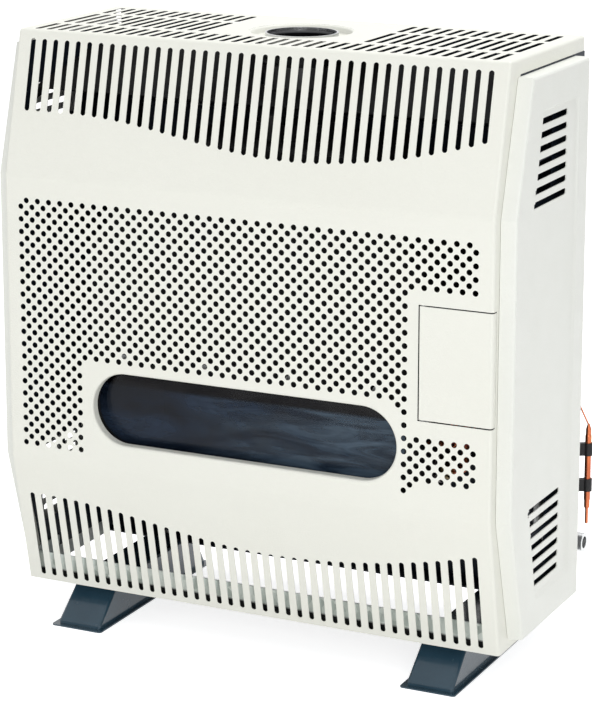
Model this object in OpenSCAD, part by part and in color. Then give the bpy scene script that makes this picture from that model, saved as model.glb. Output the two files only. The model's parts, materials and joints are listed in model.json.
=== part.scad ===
// Flued gas heater: a pressed steel casing on two channel feet, with its burner,
// valve, thermostat and flue inside. Millimetres. X runs to the right, Y to the
// back and Z up, from the middle of the footprint on the floor.

/* [Overall] */
// Width over the side panels
overall_w = 606; // [560:2:680]
// Height over the top of the casing
overall_h = 670; // [640:5:720]
// Depth from the front panel to the wall side
overall_d = 288; // [284:1:320]
// Thickness of the casing steel
sheet = 1.2; // [1:0.1:1.6]
// Thickness of the chassis steel
plate = 1.5; // [1.2:0.1:2]

/* [Casing] */
// Width of a side panel beside the casing
pod_w = 17; // [16:0.5:20]
// Depth of the rear tray behind the casing
tray_d = 40; // [38:1:42]
// Height of the casing's bottom edge
casing_z = 45; // [44:0.5:47]
// Height of the lower bend
bend_low = 199; // [195:1:203]
// Height of the hood over the upper bend
hood_h = 154; // [150:1:158]
// Lean of the upper facet at the top edge
lean_top = 37; // [33:1:41]
// Lean of the lower facet at the bottom edge
lean_low = 32; // [28:1:33]
// Height of the side skirts
skirt_h = 16; // [14:1:18]
// Depth of the side returns
return_d = 20; // [18:0.5:22]

/* [Slots] */
// Pitch of the slots
slot_step = 14; // [13:0.1:14.4]
// Width of a slot
slot_w = 4.9; // [3:0.1:5]

/* [Window] */
// Inset of the window's ends from the chamber's sides
window_inset = 16; // [14:1:26]
// Height of the window opening
window_h = 80; // [70:1:84]
// Height of the window's middle
window_z = 266.5; // [264:0.5:268]
// Depth of the rolled flange
window_flange = 10; // [6:0.5:12]
// Thickness of the glass
glass_t = 4; // [3:0.5:5]
// Thickness of the gasket
gasket_t = 3; // [2:0.5:3.5]

/* [Control door] */
// Width of the door on the front
door_w = 80.7; // [78:0.1:82]
// Height of the door
door_h = 120; // [110:1:124]
// Height of the door's middle
door_z = 360; // [356:1:364]
// Depth of the door's wrapped edge
door_wrap = 8; // [6:0.5:9]
// Gap round the door
door_gap = 0.8; // [0.6:0.1:1.2]
// Radius of the hinge knuckle
knuckle_r = 3; // [2.8:0.1:3.4]
// Radius of the hinge pin
pin_r = 1.2; // [1:0.05:1.3]

/* [Side panels] */
// Height of the panel's lower edge
pod_z0 = 57; // [56:0.5:60]
// Drop of the panel's upper edge below the casing top
pod_drop = 18; // [17:0.5:24]
// Setback of the panel's back edge from the casing's
pod_setback = 27; // [22:1:30]
// Depth of the pressed field
field_d = 2.4; // [1.5:0.1:3]
// Height of a louvre slot
louvre_h = 5; // [4:0.5:6]
// Pitch of the louvre slots
louvre_step = 14; // [13.5:0.1:14.5]

/* [Feet] */
// Width of a foot channel
foot_w = 51; // [46:1:56]
// Inset of a foot's middle from the casing's side
foot_inset = 72.5; // [66:0.5:86]
// Width of the flared lip on each side
foot_lip = 6; // [4:0.5:8]
// Setback of the foot's front lip
foot_front = 9; // [6:0.5:12]
// Setback of the foot's rear lip
foot_rear = 9; // [6:0.5:12]
// Run of the sloped nose
nose_run = 46; // [40:1:50]

/* [Rear] */
// Inset of the rear tray on each side
rear_inset = 18; // [17:1:22]
// Radius of a wall bolt hole
wall_hole_r = 4.25; // [3.5:0.25:5]
// Sideways spacing of the wall holes
wall_dx = 400; // [380:5:420]
// Upward spacing of the wall holes
wall_dz = 440; // [420:5:460]

/* [Flue] */
// Outside radius of the flue collar
flue_r = 39.75; // [38:0.25:41]
// Wall of the flue collar
flue_wall = 2; // [1.5:0.25:2.5]
// Depth of the flue's middle from the casing's back edge
flue_back = 98; // [94:0.5:100]
// Radius of the dished recess
dish_r = 54; // [52:0.5:56]
// Depth of the dished recess
dish_d = 8; // [6:0.5:10]

/* [Heat exchanger] */
// Gap from the chamber to the gas valve
chamber_gap = 20; // [18:1:22]
// Setback of the chamber's back wall from the casing's back edge
chamber_setback = 58; // [54:1:62]
// Height of the chamber floor
chamber_z0 = 205; // [200:1:208]
// Height of the crown over the shoulders
crown_h = 120; // [100:5:140]
// Drop of the chamber top below the casing top
chamber_drop = 110; // [105:1:115]
// Width of the chamber top
crown_w = 220; // [200:2:240]

/* [Burner] */
// Radius of the burner tube
burner_r = 16; // [14:0.5:17]
// Depth of the burner's axis
burner_y = 80; // [78:1:84]
// Height of the burner's axis
burner_z = 226; // [225:0.5:228]
// Flame ports along the burner
port_n = 26; // [20:1:30]

/* [Controls] */
// Radius of the control knob
knob_r = 20; // [18:0.5:21]
// Length of the control knob
knob_l = 18; // [16:0.5:19]
// Push travel of the knob
knob_push = 4; // [3:0.5:4]
// Radius of the knob's spindle
spindle_r = 4; // [3.5:0.25:4.5]
// Radius of the igniter button
button_r = 8; // [7:0.5:8.5]
// Push travel of the igniter button
button_push = 5; // [4:0.5:6]

/* [Gas inlet and thermostat] */
// Outside radius of the inlet nipple
inlet_r = 10.48; // [8:0.01:10.5]
// Bore radius of the inlet nipple
inlet_bore = 6.75; // [5:0.25:7]
// Height of the inlet
inlet_z = 101; // [98:1:106]
// Radius of the gas pipe
pipe_r = 6; // [5:0.5:6.5]
// Radius of the sensing bulb
bulb_r = 3.5; // [3:0.1:3.8]
// Length of the sensing bulb
bulb_l = 96; // [90:1:100]
// Height of the bulb's lower end
bulb_z = 143; // [140:1:146]

/* [Fits] */
// Gap between pieces that sit against each other
seat = 0.3; // [0.2:0.05:0.4]
// Radial clearance of a running shaft
running = 0.05; // [0.02:0.01:0.1]

/* [Hidden] */
$fn = 48;

front = -overall_d/2;          // front face of the casing in the object's own frame
hw = overall_w/2 - pod_w;      // half width of the casing
casing_back = overall_d - tray_d; // back edge of the casing top
bend_high = overall_h - hood_h;   // height of the upper bend
foot_spread = 2*(hw - foot_inset); // middle to middle
pod_z1 = overall_h - pod_drop;
pod_back = casing_back - pod_setback;
slot_n = 2*floor((hw - slot_step)/slot_step) + 1; // slots across the casing
pod_hw = overall_w/2;          // half width over the side panels
frame_x = hw - sheet + 0.1;    // inner face of the side frames
foot_top = casing_z + 0.7;     // top of a foot channel
rail_z = foot_top + seat;      // underside of the base rails
rail_h = 30;                   // height of a base rail's upright
rail_hw = frame_x - seat - sheet*0.1; // half length of a base rail
tray_y = casing_back + 2;      // back edge of the side frames
flange_y = tray_y + seat;      // flange of the rear tray
tray_hw = hw - rear_inset;
glass_y = window_flange + 10 + seat; // front of the glass
gasket_y = glass_y + glass_t;
chamber_y = gasket_y + gasket_t;     // front wall of the chamber
flue_top = overall_h - 1;
neck_z = flue_top - 57;        // lower end of the flue collar
door_x0 = hw - door_w;         // left edge of the door
pin_x = door_x0 + knuckle_r;   // hinge axis
pin_y = knuckle_r;
door_z0 = door_z - door_h/2;
plate_y = 34;                  // front of the control plate
knob_x = door_x0 + 38.7;
knob_z = door_z + 16;
button_z = door_z - 34;
knob_y = plate_y - knob_push - 1 - knob_l; // front of the knob
valve_y = plate_y + 10;        // front of the valve body
valve_z = knob_z - 30;         // underside of the valve body
valve_h = 60;
valve_w = 56;
valve_x0 = knob_x - valve_w/2;
chamber_w = 2*(valve_x0 - chamber_gap);
window_w = chamber_w - 2*window_inset;
chamber_back = casing_back - chamber_setback;
chamber_z2 = overall_h - chamber_drop;
chamber_z1 = chamber_z2 - crown_h; // height of the shoulders
flue_y = casing_back - flue_back;
valve_d = 48;
inlet_y = flange_y + sheet + inlet_r + 1; // axis of the gas inlet
inlet_x = pod_hw - 8;          // mouth of the inlet
bulb_x = pod_hw - 5.8;
bulb_y = flange_y + sheet + 10.5;
clip_z = [bulb_z + 19, bulb_z + 60];
clip_h = 14;

// Object's own frame: every module below counts Y from the casing's front face.
module seat_down() { translate([0, front, 0]) children(); }

// Flat sheet of thickness t on the line from a to b in the YZ plane, outer face on the line.
module facet(a, b, t = sheet) {
    translate([0, a[0], a[1]]) rotate([atan2(b[1] - a[1], b[0] - a[0]), 0, 0])
        translate([0, 0, -t]) linear_extrude(t) children();
}

// Profile in Y and Z, extruded along X from x0 to x1.
module along_x(x0, x1) {
    translate([x0, 0, 0]) rotate([90, 0, 90]) linear_extrude(x1 - x0) children();
}

// Profile in X and Z, extruded along Y from y0 to y1.
module along_y(y0, y1) {
    translate([0, y1, 0]) rotate([90, 0, 0]) linear_extrude(y1 - y0) children();
}

module box(a, b) { translate(a) cube(b - a); }

// Upright slot with round ends, from y0 to y1.
module slot(x, y0, y1, w) {
    r = w/2;
    translate([x - r, y0 + r]) square([w, y1 - y0 - w]);
    translate([x, y0 + r]) circle(r, $fn = 16);
    translate([x, y1 - r]) circle(r, $fn = 16);
}

// Lying stadium of the given length and height.
module stadium(w, h) {
    square([w - h, h], center = true);
    for (s = [-1, 1]) translate([s*(w - h)/2, 0]) circle(h/2, $fn = 64);
}

module rod(a, b, r) {
    d = b - a;
    translate(a) rotate([0, acos(d[2]/norm(d)), atan2(d[1], d[0])]) cylinder(h = norm(d), r = r);
}

// Round bend of radius bend at corner p, from direction u to direction v.
module elbow(p, u, v, bend, r) {
    c = p - bend*u + bend*v;
    w = cross(-v, u);
    multmatrix([[-v[0], u[0], w[0], c[0]], [-v[1], u[1], w[1], c[1]],
            [-v[2], u[2], w[2], c[2]], [0, 0, 0, 1]])
        rotate_extrude(angle = 90) translate([bend, 0]) circle(r);
}

function unit(v) = v/norm(v);

// Bent tube through right-angled corners.
module tube_path(pts, r, bend) {
    n = len(pts) - 1;
    for (i = [0:n - 1]) {
        u = unit(pts[i + 1] - pts[i]);
        rod(pts[i] + (i == 0 ? 0 : bend)*u, pts[i + 1] - (i == n - 1 ? 0 : bend)*u, r);
        if (i < n - 1) elbow(pts[i + 1], u, unit(pts[i + 2] - pts[i + 1]), bend, r);
    }
}

// ---- Front casing -------------------------------------------------------

// Corners of the casing's profile.
p_low = [lean_low, casing_z];
p_bend_low = [0, bend_low];
p_bend_high = [0, bend_high];
p_top = [lean_top, overall_h];

// Wave of the upper slots' length, and of the lower slots' upper ends.
slot_max = norm(p_top - p_bend_high) - 49.4;
function upper_slot(n) = n <= 24 ? slot_max - 30.5*(1 + cos(180*(max(n, 4.5) - 4.5)/19.5))/2
    : slot_max - 35.5*pow((n - 24)/15, 1.9);
slot_low = norm(p_bend_low - p_low) - 77.3;
function lower_slot(n) = n <= 22 ? slot_low + 31*(1 + cos(180*(max(n, 2) - 2)/20))/2
    : slot_low + 35.4*pow((n - 22)/17, 1.9);
function slot_x(n) = (n - (slot_n + 1)/2)*slot_step;

// The pressed sheet of the casing, flat by flat. Each flat ends short of its fold.
fold = 0.35;
flat_hw = hw - sheet - 0.2;

module mid_panel() {
    difference() {
        translate([-flat_hw, 0]) square([2*flat_hw, bend_high - bend_low]);
        translate([0, window_z - bend_low])
            stadium(window_w + 2*sheet + 0.4, window_h + 2*sheet + 0.4);
        translate([door_x0 - door_gap, door_z0 - door_gap - bend_low])
            square([door_w + 1, door_h + 2*door_gap]);
    }
}

module upper_panel() {
    l = norm(p_top - p_bend_high);
    difference() {
        translate([-flat_hw, fold]) square([2*flat_hw, l - fold]);
        for (n = [1:slot_n]) slot(slot_x(n), l - 10 - upper_slot(n), l - 10, slot_w);
    }
}

module lower_panel() {
    l = norm(p_bend_low - p_low);
    difference() {
        translate([-flat_hw, 0]) square([2*flat_hw, l - fold]);
        for (n = [1:slot_n]) slot(slot_x(n), 6.5, lower_slot(n), slot_w);
    }
}

// Slot rows of the top: one in front of the dish, two on each side of it.
top_rows = [[lean_top + 4.5, flue_y - dish_r - 7], [flue_y - dish_r + 5, flue_y + 25],
    [flue_y + 36, casing_back - 16]];
module top_panel() {
    difference() {
        translate([-flat_hw, lean_top + 1.6]) square([2*flat_hw, casing_back - lean_top - 1.6]);
        for (k = [0:2]) for (n = [1:slot_n]) if (k == 0 || abs(slot_x(n)) > dish_r + 32)
            slot(slot_x(n), top_rows[k][0], top_rows[k][1], slot_w);
        translate([0, flue_y]) circle(dish_r, $fn = 64);
    }
}

// Back edge of the side return, shared with the side frame that meets it.
ivory = [0.94, 0.94, 0.91];
return_edge = [[lean_top + return_d + 5, overall_h - skirt_h], [return_d, bend_high],
    [return_d, bend_low], [lean_low + return_d + 8, casing_z + skirt_h + 1]];

module side_return() {
    polygon(concat([p_low, p_bend_low, p_bend_high, p_top, [casing_back, overall_h],
        [casing_back, overall_h - skirt_h]], return_edge,
        [[casing_back - 16, casing_z + skirt_h + 1], [casing_back - 16, casing_z]]));
}

module front_casing() { color(ivory) seat_down() facet(p_bend_low, p_bend_high) mid_panel(); }
module casing_hood() { color(ivory) seat_down() facet(p_bend_high, p_top) upper_panel(); }
module casing_apron() { color(ivory) seat_down() facet(p_low, p_bend_low) lower_panel(); }
module casing_top() {
    color(ivory) seat_down() {
        translate([0, 0, overall_h - sheet]) linear_extrude(sheet) top_panel();
        translate([0, flue_y, overall_h - dish_d]) difference() {
            cylinder(h = dish_d, r = dish_r);
            translate([0, 0, sheet]) cylinder(h = dish_d, r = dish_r - sheet);
            translate([0, 0, -1]) cylinder(h = dish_d, r = flue_r + 2.5);
        }
    }
}
module casing_side(x0) {
    difference() {
        along_x(x0, x0 + sheet) side_return();
        casing_screw_holes();
    }
}
module left_casing_side() { color(ivory) seat_down() casing_side(-hw); }
module right_casing_side() {
    color(ivory) seat_down() difference() {
        casing_side(hw - sheet);
        box([door_x0, -1, door_z0 - door_gap],
            [hw + 1, door_wrap + door_gap, door_z0 + door_h + door_gap]);
    }
}
// Rolled rim that stands back to the glass, with a lip behind the panel.
module window_rim() {
    color(ivory) seat_down() {
        window_ring(0, window_flange, sheet, 0);
        window_ring(sheet + 0.2, 2*sheet + 0.2, sheet + 4, sheet - 0.1);
    }
}

// ---- Side panels --------------------------------------------------------

// Outline in Y and Z, set back by s from the joint with the casing.
function pod_outline(s, e) = [[lean_top + 17.5 + s, pod_z1 - e], [14 + s, bend_high - 3],
    [14 + s, bend_low - 3], [lean_low + 22.5 + s, pod_z0 + e], [pod_back - e, pod_z0 + e],
    [pod_back - e, pod_z1 - e]];
field = [[85, pod_z1 - 37], [pod_back - 31, pod_z1 - 37], [pod_back - 31, pod_z0 + 35],
    [90, pod_z0 + 33], [65, bend_low + 1], [63, bend_high - 6]];
louvre_n = 7;
louvre_end = pod_back - 59.5;
upper_louvre_z = pod_z1 - 49;
lower_louvre_z = 192.5;
upper_louvre = [86.5, 83, 79, 75.5, 72, 66, 62.5];
lower_louvre = [62.5, 68.5, 72, 76, 81.5, 85, 88.5];

pod_in = hw + 0.4;   // inner face of a side panel
pod_edge = 3;        // roll of the outer edges
screw_z = [pod_z0 + 40, pod_z1 - 40];

module slab(x, s, e) { along_x(x, x + 0.01) polygon(pod_outline(s, e)); }

module side_panel() {
    difference() {
        union() {
            difference() {
                hull() {
                    slab(pod_in, 0, 0);
                    slab(pod_hw - pod_edge, 2.2, 0);
                    slab(pod_hw - 1, 3, 0.8);
                    slab(pod_hw - 0.01, 4.6, 2.6);
                }
                hull() {
                    slab(pod_in - 0.1, sheet, sheet);
                    slab(pod_hw - sheet - 0.01, 2.6 + sheet, sheet + 0.6);
                }
            }
            // floor of the pressed field
            along_x(pod_hw - field_d - sheet, pod_hw - sheet + 0.01) polygon(field);
            // flange along the back edge
            box([pod_in, pod_back - 16, pod_z0 + 14], [pod_in + sheet, pod_back - 0.6, pod_z1 - 14]);
        }
        hull() {
            along_x(pod_hw, pod_hw + 1) polygon(field);
            along_x(pod_hw - field_d, pod_hw) polygon([for (p = field)
                [p[0] + (p[0] > 150 ? -6 : 1.5), p[1] + (p[1] > 330 ? -2 : 6)]]);
        }
        for (z = screw_z) translate([pod_in - 1, pod_back - 8, z]) rotate([0, 90, 0])
            cylinder(h = 4, r = 2.1, $fn = 20);
        along_x(pod_in + 5, pod_hw + 1) for (k = [0:louvre_n - 1]) {
            translate([upper_louvre[k], upper_louvre_z - k*louvre_step - louvre_h/2])
                square([louvre_end - upper_louvre[k], louvre_h]);
            translate([lower_louvre[k], lower_louvre_z - k*louvre_step - louvre_h/2])
                square([louvre_end - lower_louvre[k], louvre_h]);
        }
    }
}
module right_side_panel() { color([0.87, 0.88, 0.86]) seat_down() side_panel(); }
module left_side_panel() { color([0.87, 0.88, 0.86]) seat_down() mirror([1, 0, 0]) side_panel(); }

// ---- Chassis ------------------------------------------------------------

module frame_plate() {
    difference() {
        polygon([[return_edge[0][0] + seat, return_edge[0][1] - 0.4],
            [return_edge[1][0] + seat, return_edge[1][1]],
            [return_edge[2][0] + seat, return_edge[2][1]],
            [return_edge[3][0] + seat, return_edge[3][1] + 0.4],
            [tray_y, casing_z + skirt_h + 1.4], [tray_y, overall_h - skirt_h - 0.4]]);
        // air ways behind the louvres
        for (z = [upper_louvre_z, lower_louvre_z]) for (k = [0, 1]) for (j = [0, 1])
            translate([62 + k*52, z - 90 + j*50]) square([44, 42]);
        translate([cap_y + 4, cap_z]) circle(3);
    }
}
module side_frame() {
    difference() {
        union() {
            along_x(frame_x, frame_x + sheet) frame_plate();
            box([frame_x - 15, tray_y - sheet, casing_z + skirt_h + 4],
                [frame_x + 0.1, tray_y, overall_h - skirt_h - 4]);
        }
        for (z = screw_z) translate([frame_x - 1, pod_back - 8, z]) rotate([0, 90, 0])
            cylinder(h = 4, r = 2.1);
    }
}
module right_side_frame() { color([0.2, 0.25, 0.3]) seat_down() side_frame(); }
module left_side_frame() { color([0.2, 0.25, 0.3]) seat_down() mirror([1, 0, 0]) side_frame(); }

tray_z0 = casing_z + skirt_h + 2;
tray_z1 = overall_h - 30;
module rear_frame() {
    color([0.2, 0.25, 0.3]) seat_down() difference() {
        union() {
            along_y(overall_d - sheet, overall_d) difference() {
                translate([-tray_hw, tray_z0]) square([2*tray_hw, tray_z1 - tray_z0]);
                for (s = [-1, 1]) for (t = [-1, 1])
                    translate([s*wall_dx/2, (tray_z0 + tray_z1 + t*wall_dz)/2])
                        circle(wall_hole_r);
                for (n = [-8:8]) slot(n*20, tray_z0 + 30, tray_z0 + 90, 6);
            }
            for (s = [-1, 1]) {
                box([s*tray_hw - (s > 0 ? sheet : 0), flange_y, tray_z0],
                    [s*tray_hw + (s > 0 ? 0 : sheet), overall_d, tray_z1]);
                box([s > 0 ? tray_hw - sheet : -hw + 0.4, flange_y, tray_z0],
                    [s > 0 ? hw - 0.4 : sheet - tray_hw, flange_y + sheet, tray_z1]);
            }
            for (z = [tray_z0, tray_z1 - sheet])
                box([-tray_hw, flange_y, z], [tray_hw, overall_d, z + sheet]);
        }
        translate([tray_hw - 5, inlet_y, inlet_z]) rotate([0, 90, 0])
            cylinder(h = 10, r = inlet_r + seat);
    }
}

module rail(y0, y1, upright_y) {
    box([-rail_hw, y0, rail_z], [rail_hw, y1, rail_z + plate]);
    box([-rail_hw, upright_y, rail_z], [rail_hw, upright_y + plate, rail_z + rail_h]);
    for (s = [-1, 1]) box([s > 0 ? rail_hw - plate : -rail_hw, y0, rail_z],
        [s > 0 ? rail_hw : plate - rail_hw, y1, rail_z + rail_h]);
}
bolt_y = [84, casing_back - 16];
rail_front_y = 36;
rail_rear_y = casing_back - 38;
rail_d = 58;      // depth of the front rail
rail_rear_d = 36; // depth of the rear rail
module foot_bolt_holes(r) {
    for (s = [-1, 1]) for (y = bolt_y) translate([s*foot_spread/2, y, foot_top - 10])
        cylinder(h = 30, r = r, $fn = 24);
}
module base_rail_front() {
    color([0.72, 0.75, 0.72]) seat_down() difference() {
        rail(rail_front_y, rail_front_y + rail_d, rail_front_y);
        foot_bolt_holes(3.2);
    }
}
module casing_screw_holes() {
    translate([-hw - 1, rail_rear_y + 8, casing_z + 8]) rotate([0, 90, 0])
        cylinder(h = 2*hw + 2, r = 2, $fn = 20);
}
module base_rail_rear() {
    color([0.72, 0.75, 0.72]) seat_down() difference() {
        rail(rail_rear_y, rail_rear_y + rail_rear_d, rail_rear_y + rail_rear_d - plate);
        foot_bolt_holes(3.2);
        casing_screw_holes();
    }
}

foot_l = overall_d - foot_front - foot_rear;
foot_back = foot_front + foot_l;
foot_nose = 9;   // lip in front of the channel
lip_t = 2;
module foot_profile(t) {
    a = foot_front + foot_nose;
    b = foot_back - foot_nose;
    polygon([[a + t*1.4, 0], [a + t*1.4, 4], [a + nose_run + t*0.7, foot_top - t],
        [b - nose_run/2 - t*0.7, foot_top - t], [b - t*1.2, 4], [b - t*1.2, 0]]);
}
module foot() {
    difference() {
        union() {
            along_x(-foot_w/2, foot_w/2) foot_profile(0);
            linear_extrude(lip_t) difference() {
                union() {
                    translate([-foot_w/2 - foot_lip, foot_front + 12])
                        square([foot_w + 2*foot_lip, foot_l - 24]);
                    translate([-foot_w/2 - foot_lip + 12, foot_front])
                        square([foot_w + 2*foot_lip - 24, foot_l]);
                    for (s = [-1, 1]) for (y = [foot_front + 12, foot_back - 12])
                        translate([s*(foot_w/2 + foot_lip - 12), y]) circle(12);
                }
            }
        }
        translate([0, 0, -0.01]) along_x(plate - foot_w/2, foot_w/2 - plate)
            foot_profile(plate);
    }
}
module placed_foot(s) {
    color([0.26, 0.32, 0.37]) seat_down() difference() {
        translate([s*foot_spread/2, 0, 0]) foot();
        foot_bolt_holes(3.2);
    }
}
module left_foot() { placed_foot(-1); }
module right_foot() { placed_foot(1); }
module foot_bolts() {
    color([0.7, 0.7, 0.72]) seat_down() for (s = [-1, 1]) for (y = bolt_y)
        translate([s*foot_spread/2, y, foot_top - plate - 4.5]) {
            cylinder(h = 14, r = 3, $fn = 24);
            translate([0, 0, 4.2 - 4]) cylinder(h = 4, r = 5.6, $fn = 6);
            translate([0, 0, plate*2 + 4.5 + seat*2]) cylinder(h = 4, r = 5.6, $fn = 6);
        }
}

// ---- Heat exchanger and flue --------------------------------------------

module chamber_face(t) {
    polygon([[-chamber_w/2 + t, chamber_z0 + t], [chamber_w/2 - t, chamber_z0 + t],
        [chamber_w/2 - t, chamber_z1 - t/2], [crown_w/2 - t/2, chamber_z2 - t],
        [-crown_w/2 + t/2, chamber_z2 - t], [-chamber_w/2 + t, chamber_z1 - t/2]]);
}
standoff = [[chamber_w/2 - 46, chamber_z0 + 55], [chamber_w/2 - 46, chamber_z1 - 20]];
spigot_r = 46;
neck = chamber_z2 + 16; // open top of the spigot
module combustion_chamber() {
    color([0.16, 0.17, 0.18]) seat_down() difference() {
        union() {
            along_y(chamber_y, chamber_back) chamber_face(0);
            translate([0, flue_y - 12, chamber_z2 - 1]) cylinder(h = 17, r = spigot_r);
            // pressed heating ribs on the front wall
            for (x = [-150:50:150]) box([x - 5, chamber_y - 3, window_z + 74],
                [x + 5, chamber_y + 0.1, chamber_z1 - 15]);
        }
        along_y(chamber_y + plate, chamber_back - plate) chamber_face(plate);
        translate([0, flue_y - 12, chamber_z2 - 10]) cylinder(h = 30, r = spigot_r - plate);
        translate([0, 0, window_z]) along_y(chamber_y - 5, chamber_y + 5)
            stadium(window_w + 4, window_h + 4);
        // air way under the burner
        box([-130, burner_y + 20, chamber_z0 - 1], [130, burner_y + 70, chamber_z0 + 5]);
        translate([chamber_w/2 - 5, burner_y, burner_z]) rotate([0, 90, 0])
            cylinder(h = 10, r = burner_r + seat);
        for (y = [pilot_y, lead_y, couple_y]) translate([chamber_w/2 - 5, y, side_z])
            rotate([0, 90, 0]) cylinder(h = 10, r = 2.6);
    }
}
side_z = 262;       // height of the small lines through the chamber wall
pilot_y = 50;
lead_y = 58;
couple_y = 42;

module at_standoffs() {
    for (s = [-1, 1]) for (p = standoff) translate([s*p[0], chamber_back, p[1]])
        rotate([-90, 0, 0]) children();
}
module chamber_standoffs() {
    color([0.7, 0.7, 0.72]) seat_down() at_standoffs() translate([0, 0, seat])
        cylinder(h = overall_d - sheet - chamber_back - 2*seat, r = 8);
}
shield_y = chamber_back + 24;
shield_hw = chamber_w/2 + 30;
shield_z0 = 120;
shield_z1 = chamber_z2 + 8;
module heat_shield() {
    color([0.75, 0.76, 0.76]) seat_down() difference() {
        union() {
            box([-shield_hw, shield_y, shield_z0], [shield_hw, shield_y + sheet, shield_z1]);
            for (z = [shield_z0, shield_z1 - sheet])
                box([-shield_hw, shield_y, z], [shield_hw, shield_y + 14, z + sheet]);
        }
        at_standoffs() translate([0, 0, 10]) cylinder(h = 40, r = 8 + seat);
    }
}

// Sloped sheet that turns the warm air to the front and top slots.
deflect = [[lean_top + 25, overall_h - 68], [casing_back - 10, overall_h - 30]];
module air_deflector() {
    color([0.3, 0.33, 0.36]) seat_down() difference() {
        union() {
            facet(deflect[0], deflect[1]) translate([-rail_hw, 0])
                square([2*rail_hw, norm(deflect[1] - deflect[0])]);
            for (s = [-1, 1]) along_x(s > 0 ? rail_hw - sheet : -rail_hw,
                s > 0 ? rail_hw : sheet - rail_hw)
                polygon([deflect[0], deflect[1], deflect[1] - [0, 14], deflect[0] - [0, 14]]);
        }
        translate([0, flue_y, 560]) cylinder(h = 110, r = flue_r + 6, $fn = 64);
    }
}
module draught_diverter() {
    color([0.72, 0.74, 0.74]) seat_down() {
        translate([0, flue_y, 0]) rotate_extrude() polygon([
            [68, neck + 12], [68 + sheet, neck + 12], [flue_r + seat + sheet, neck + 36],
            [flue_r + seat + sheet, neck + 60], [flue_r + seat, neck + 60],
            [flue_r + seat, neck + 36 - 0.6]]);
        for (a = [30, 150, 270]) translate([0, flue_y, 0]) rotate([0, 0, a])
            box([67, -8, chamber_z2 + seat], [67 + plate, 8, neck + 13]);
    }
}
module flue_collar() {
    color([0.75, 0.76, 0.77]) seat_down() translate([0, flue_y, neck_z]) difference() {
        union() {
            cylinder(h = flue_top - neck_z, r = flue_r);
            translate([0, 0, 24]) cylinder(h = 2, r = flue_r + 4);
        }
        translate([0, 0, -1]) cylinder(h = 70, r = flue_r - flue_wall);
    }
}

// ---- Window -------------------------------------------------------------

module window_ring(y0, y1, w_out, w_in) {
    translate([0, 0, window_z]) along_y(y0, y1) difference() {
        stadium(window_w + 2*w_out, window_h + 2*w_out);
        stadium(window_w + 2*w_in, window_h + 2*w_in);
    }
}
window_pins = [for (x = [-150, -50, 50, 150]) for (s = [-1, 1]) [x, s*(window_h/2 + 14)]];
module at_window_pins(y) {
    for (p = window_pins) translate([p[0], y, window_z + p[1]]) rotate([-90, 0, 0]) children();
}
module window_retainer() {
    color([0.12, 0.12, 0.13]) seat_down() difference() {
        union() {
            window_ring(glass_y - seat - plate, glass_y - seat, 19, 3);
            window_ring(glass_y - seat - 0.1, chamber_y - seat, 19, 19 - plate);
        }
        at_window_pins(glass_y - 5) cylinder(h = 5, r = 2.2, $fn = 20);
    }
}
module window_glass() {
    color([0.1, 0.12, 0.2, 0.6]) seat_down() window_pane();
}
module window_pane() {
    translate([0, 0, window_z]) along_y(glass_y, glass_y + glass_t - seat)
        stadium(window_w + 20, window_h + 20);
}
module window_gasket() {
    color([0.8, 0.8, 0.78]) seat_down() window_ring(gasket_y, chamber_y - 0.02, 10, 4);
}
module window_screws() {
    color([0.5, 0.5, 0.52]) seat_down() at_window_pins(glass_y - seat - plate - 2) {
        cylinder(h = 2, r = 4, $fn = 20);
        cylinder(h = chamber_y - glass_y + seat + plate + 2 - 0.02, r = 2, $fn = 20);
    }
}

// ---- Burner -------------------------------------------------------------

burner_x1 = chamber_w/2 + 5;
burner_x0 = -150;
module burner_tube() {
    color([0.62, 0.62, 0.6]) seat_down() difference() {
        translate([burner_x0, burner_y, burner_z]) rotate([0, 90, 0])
            cylinder(h = burner_x1 - burner_x0, r = burner_r);
        translate([burner_x0 + plate, burner_y, burner_z]) rotate([0, 90, 0])
            cylinder(h = burner_x1 - burner_x0, r = burner_r - plate);
        for (k = [0:port_n - 1]) box([burner_x0 + 12 + k*11, burner_y - 9, burner_z + 8],
            [burner_x0 + 14 + k*11, burner_y + 9, burner_z + 20]);
    }
}
bracket_x = [-110, 60];
module burner_bracket() {
    color([0.55, 0.55, 0.54]) seat_down() {
        for (x = bracket_x) difference() {
            box([x, burner_y - 24, chamber_z0 + plate + 0.02], [x + 12, burner_y + 18, burner_z]);
            translate([x - 1, burner_y, burner_z]) rotate([0, 90, 0])
                cylinder(h = 14, r = burner_r + running);
        }
        // arm that holds the pilot group
        difference() {
            box([148, pilot_y - 14, chamber_z0 + plate + 0.02],
                [150, burner_y - burner_r - 1, side_z + 16]);
            for (y = [pilot_y, lead_y, couple_y]) translate([145, y, side_z])
                rotate([0, 90, 0]) cylinder(h = 10, r = 2.6);
        }
    }
}
module injector() {
    color([0.78, 0.62, 0.3]) seat_down() translate([burner_x1 + seat, burner_y, burner_z])
        rotate([0, 90, 0]) difference() {
            union() {
                translate([0, 0, 0]) cylinder(h = 8, r = 12, $fn = 6);
                cylinder(h = 12, r = 7);
                translate([0, 0, -8]) cylinder(h = 8.1, r = 5);
            }
            translate([0, 0, -9]) cylinder(h = 30, r = 1.2);
        }
}
manifold_x = knob_x - 18;
module manifold_pipe() {
    color([0.72, 0.5, 0.36]) seat_down() tube_path([
        [manifold_x, burner_y, valve_z - seat], [manifold_x, burner_y, burner_z],
        [burner_x1 + seat + 12 + seat, burner_y, burner_z]], 5, 10);
}
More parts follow.
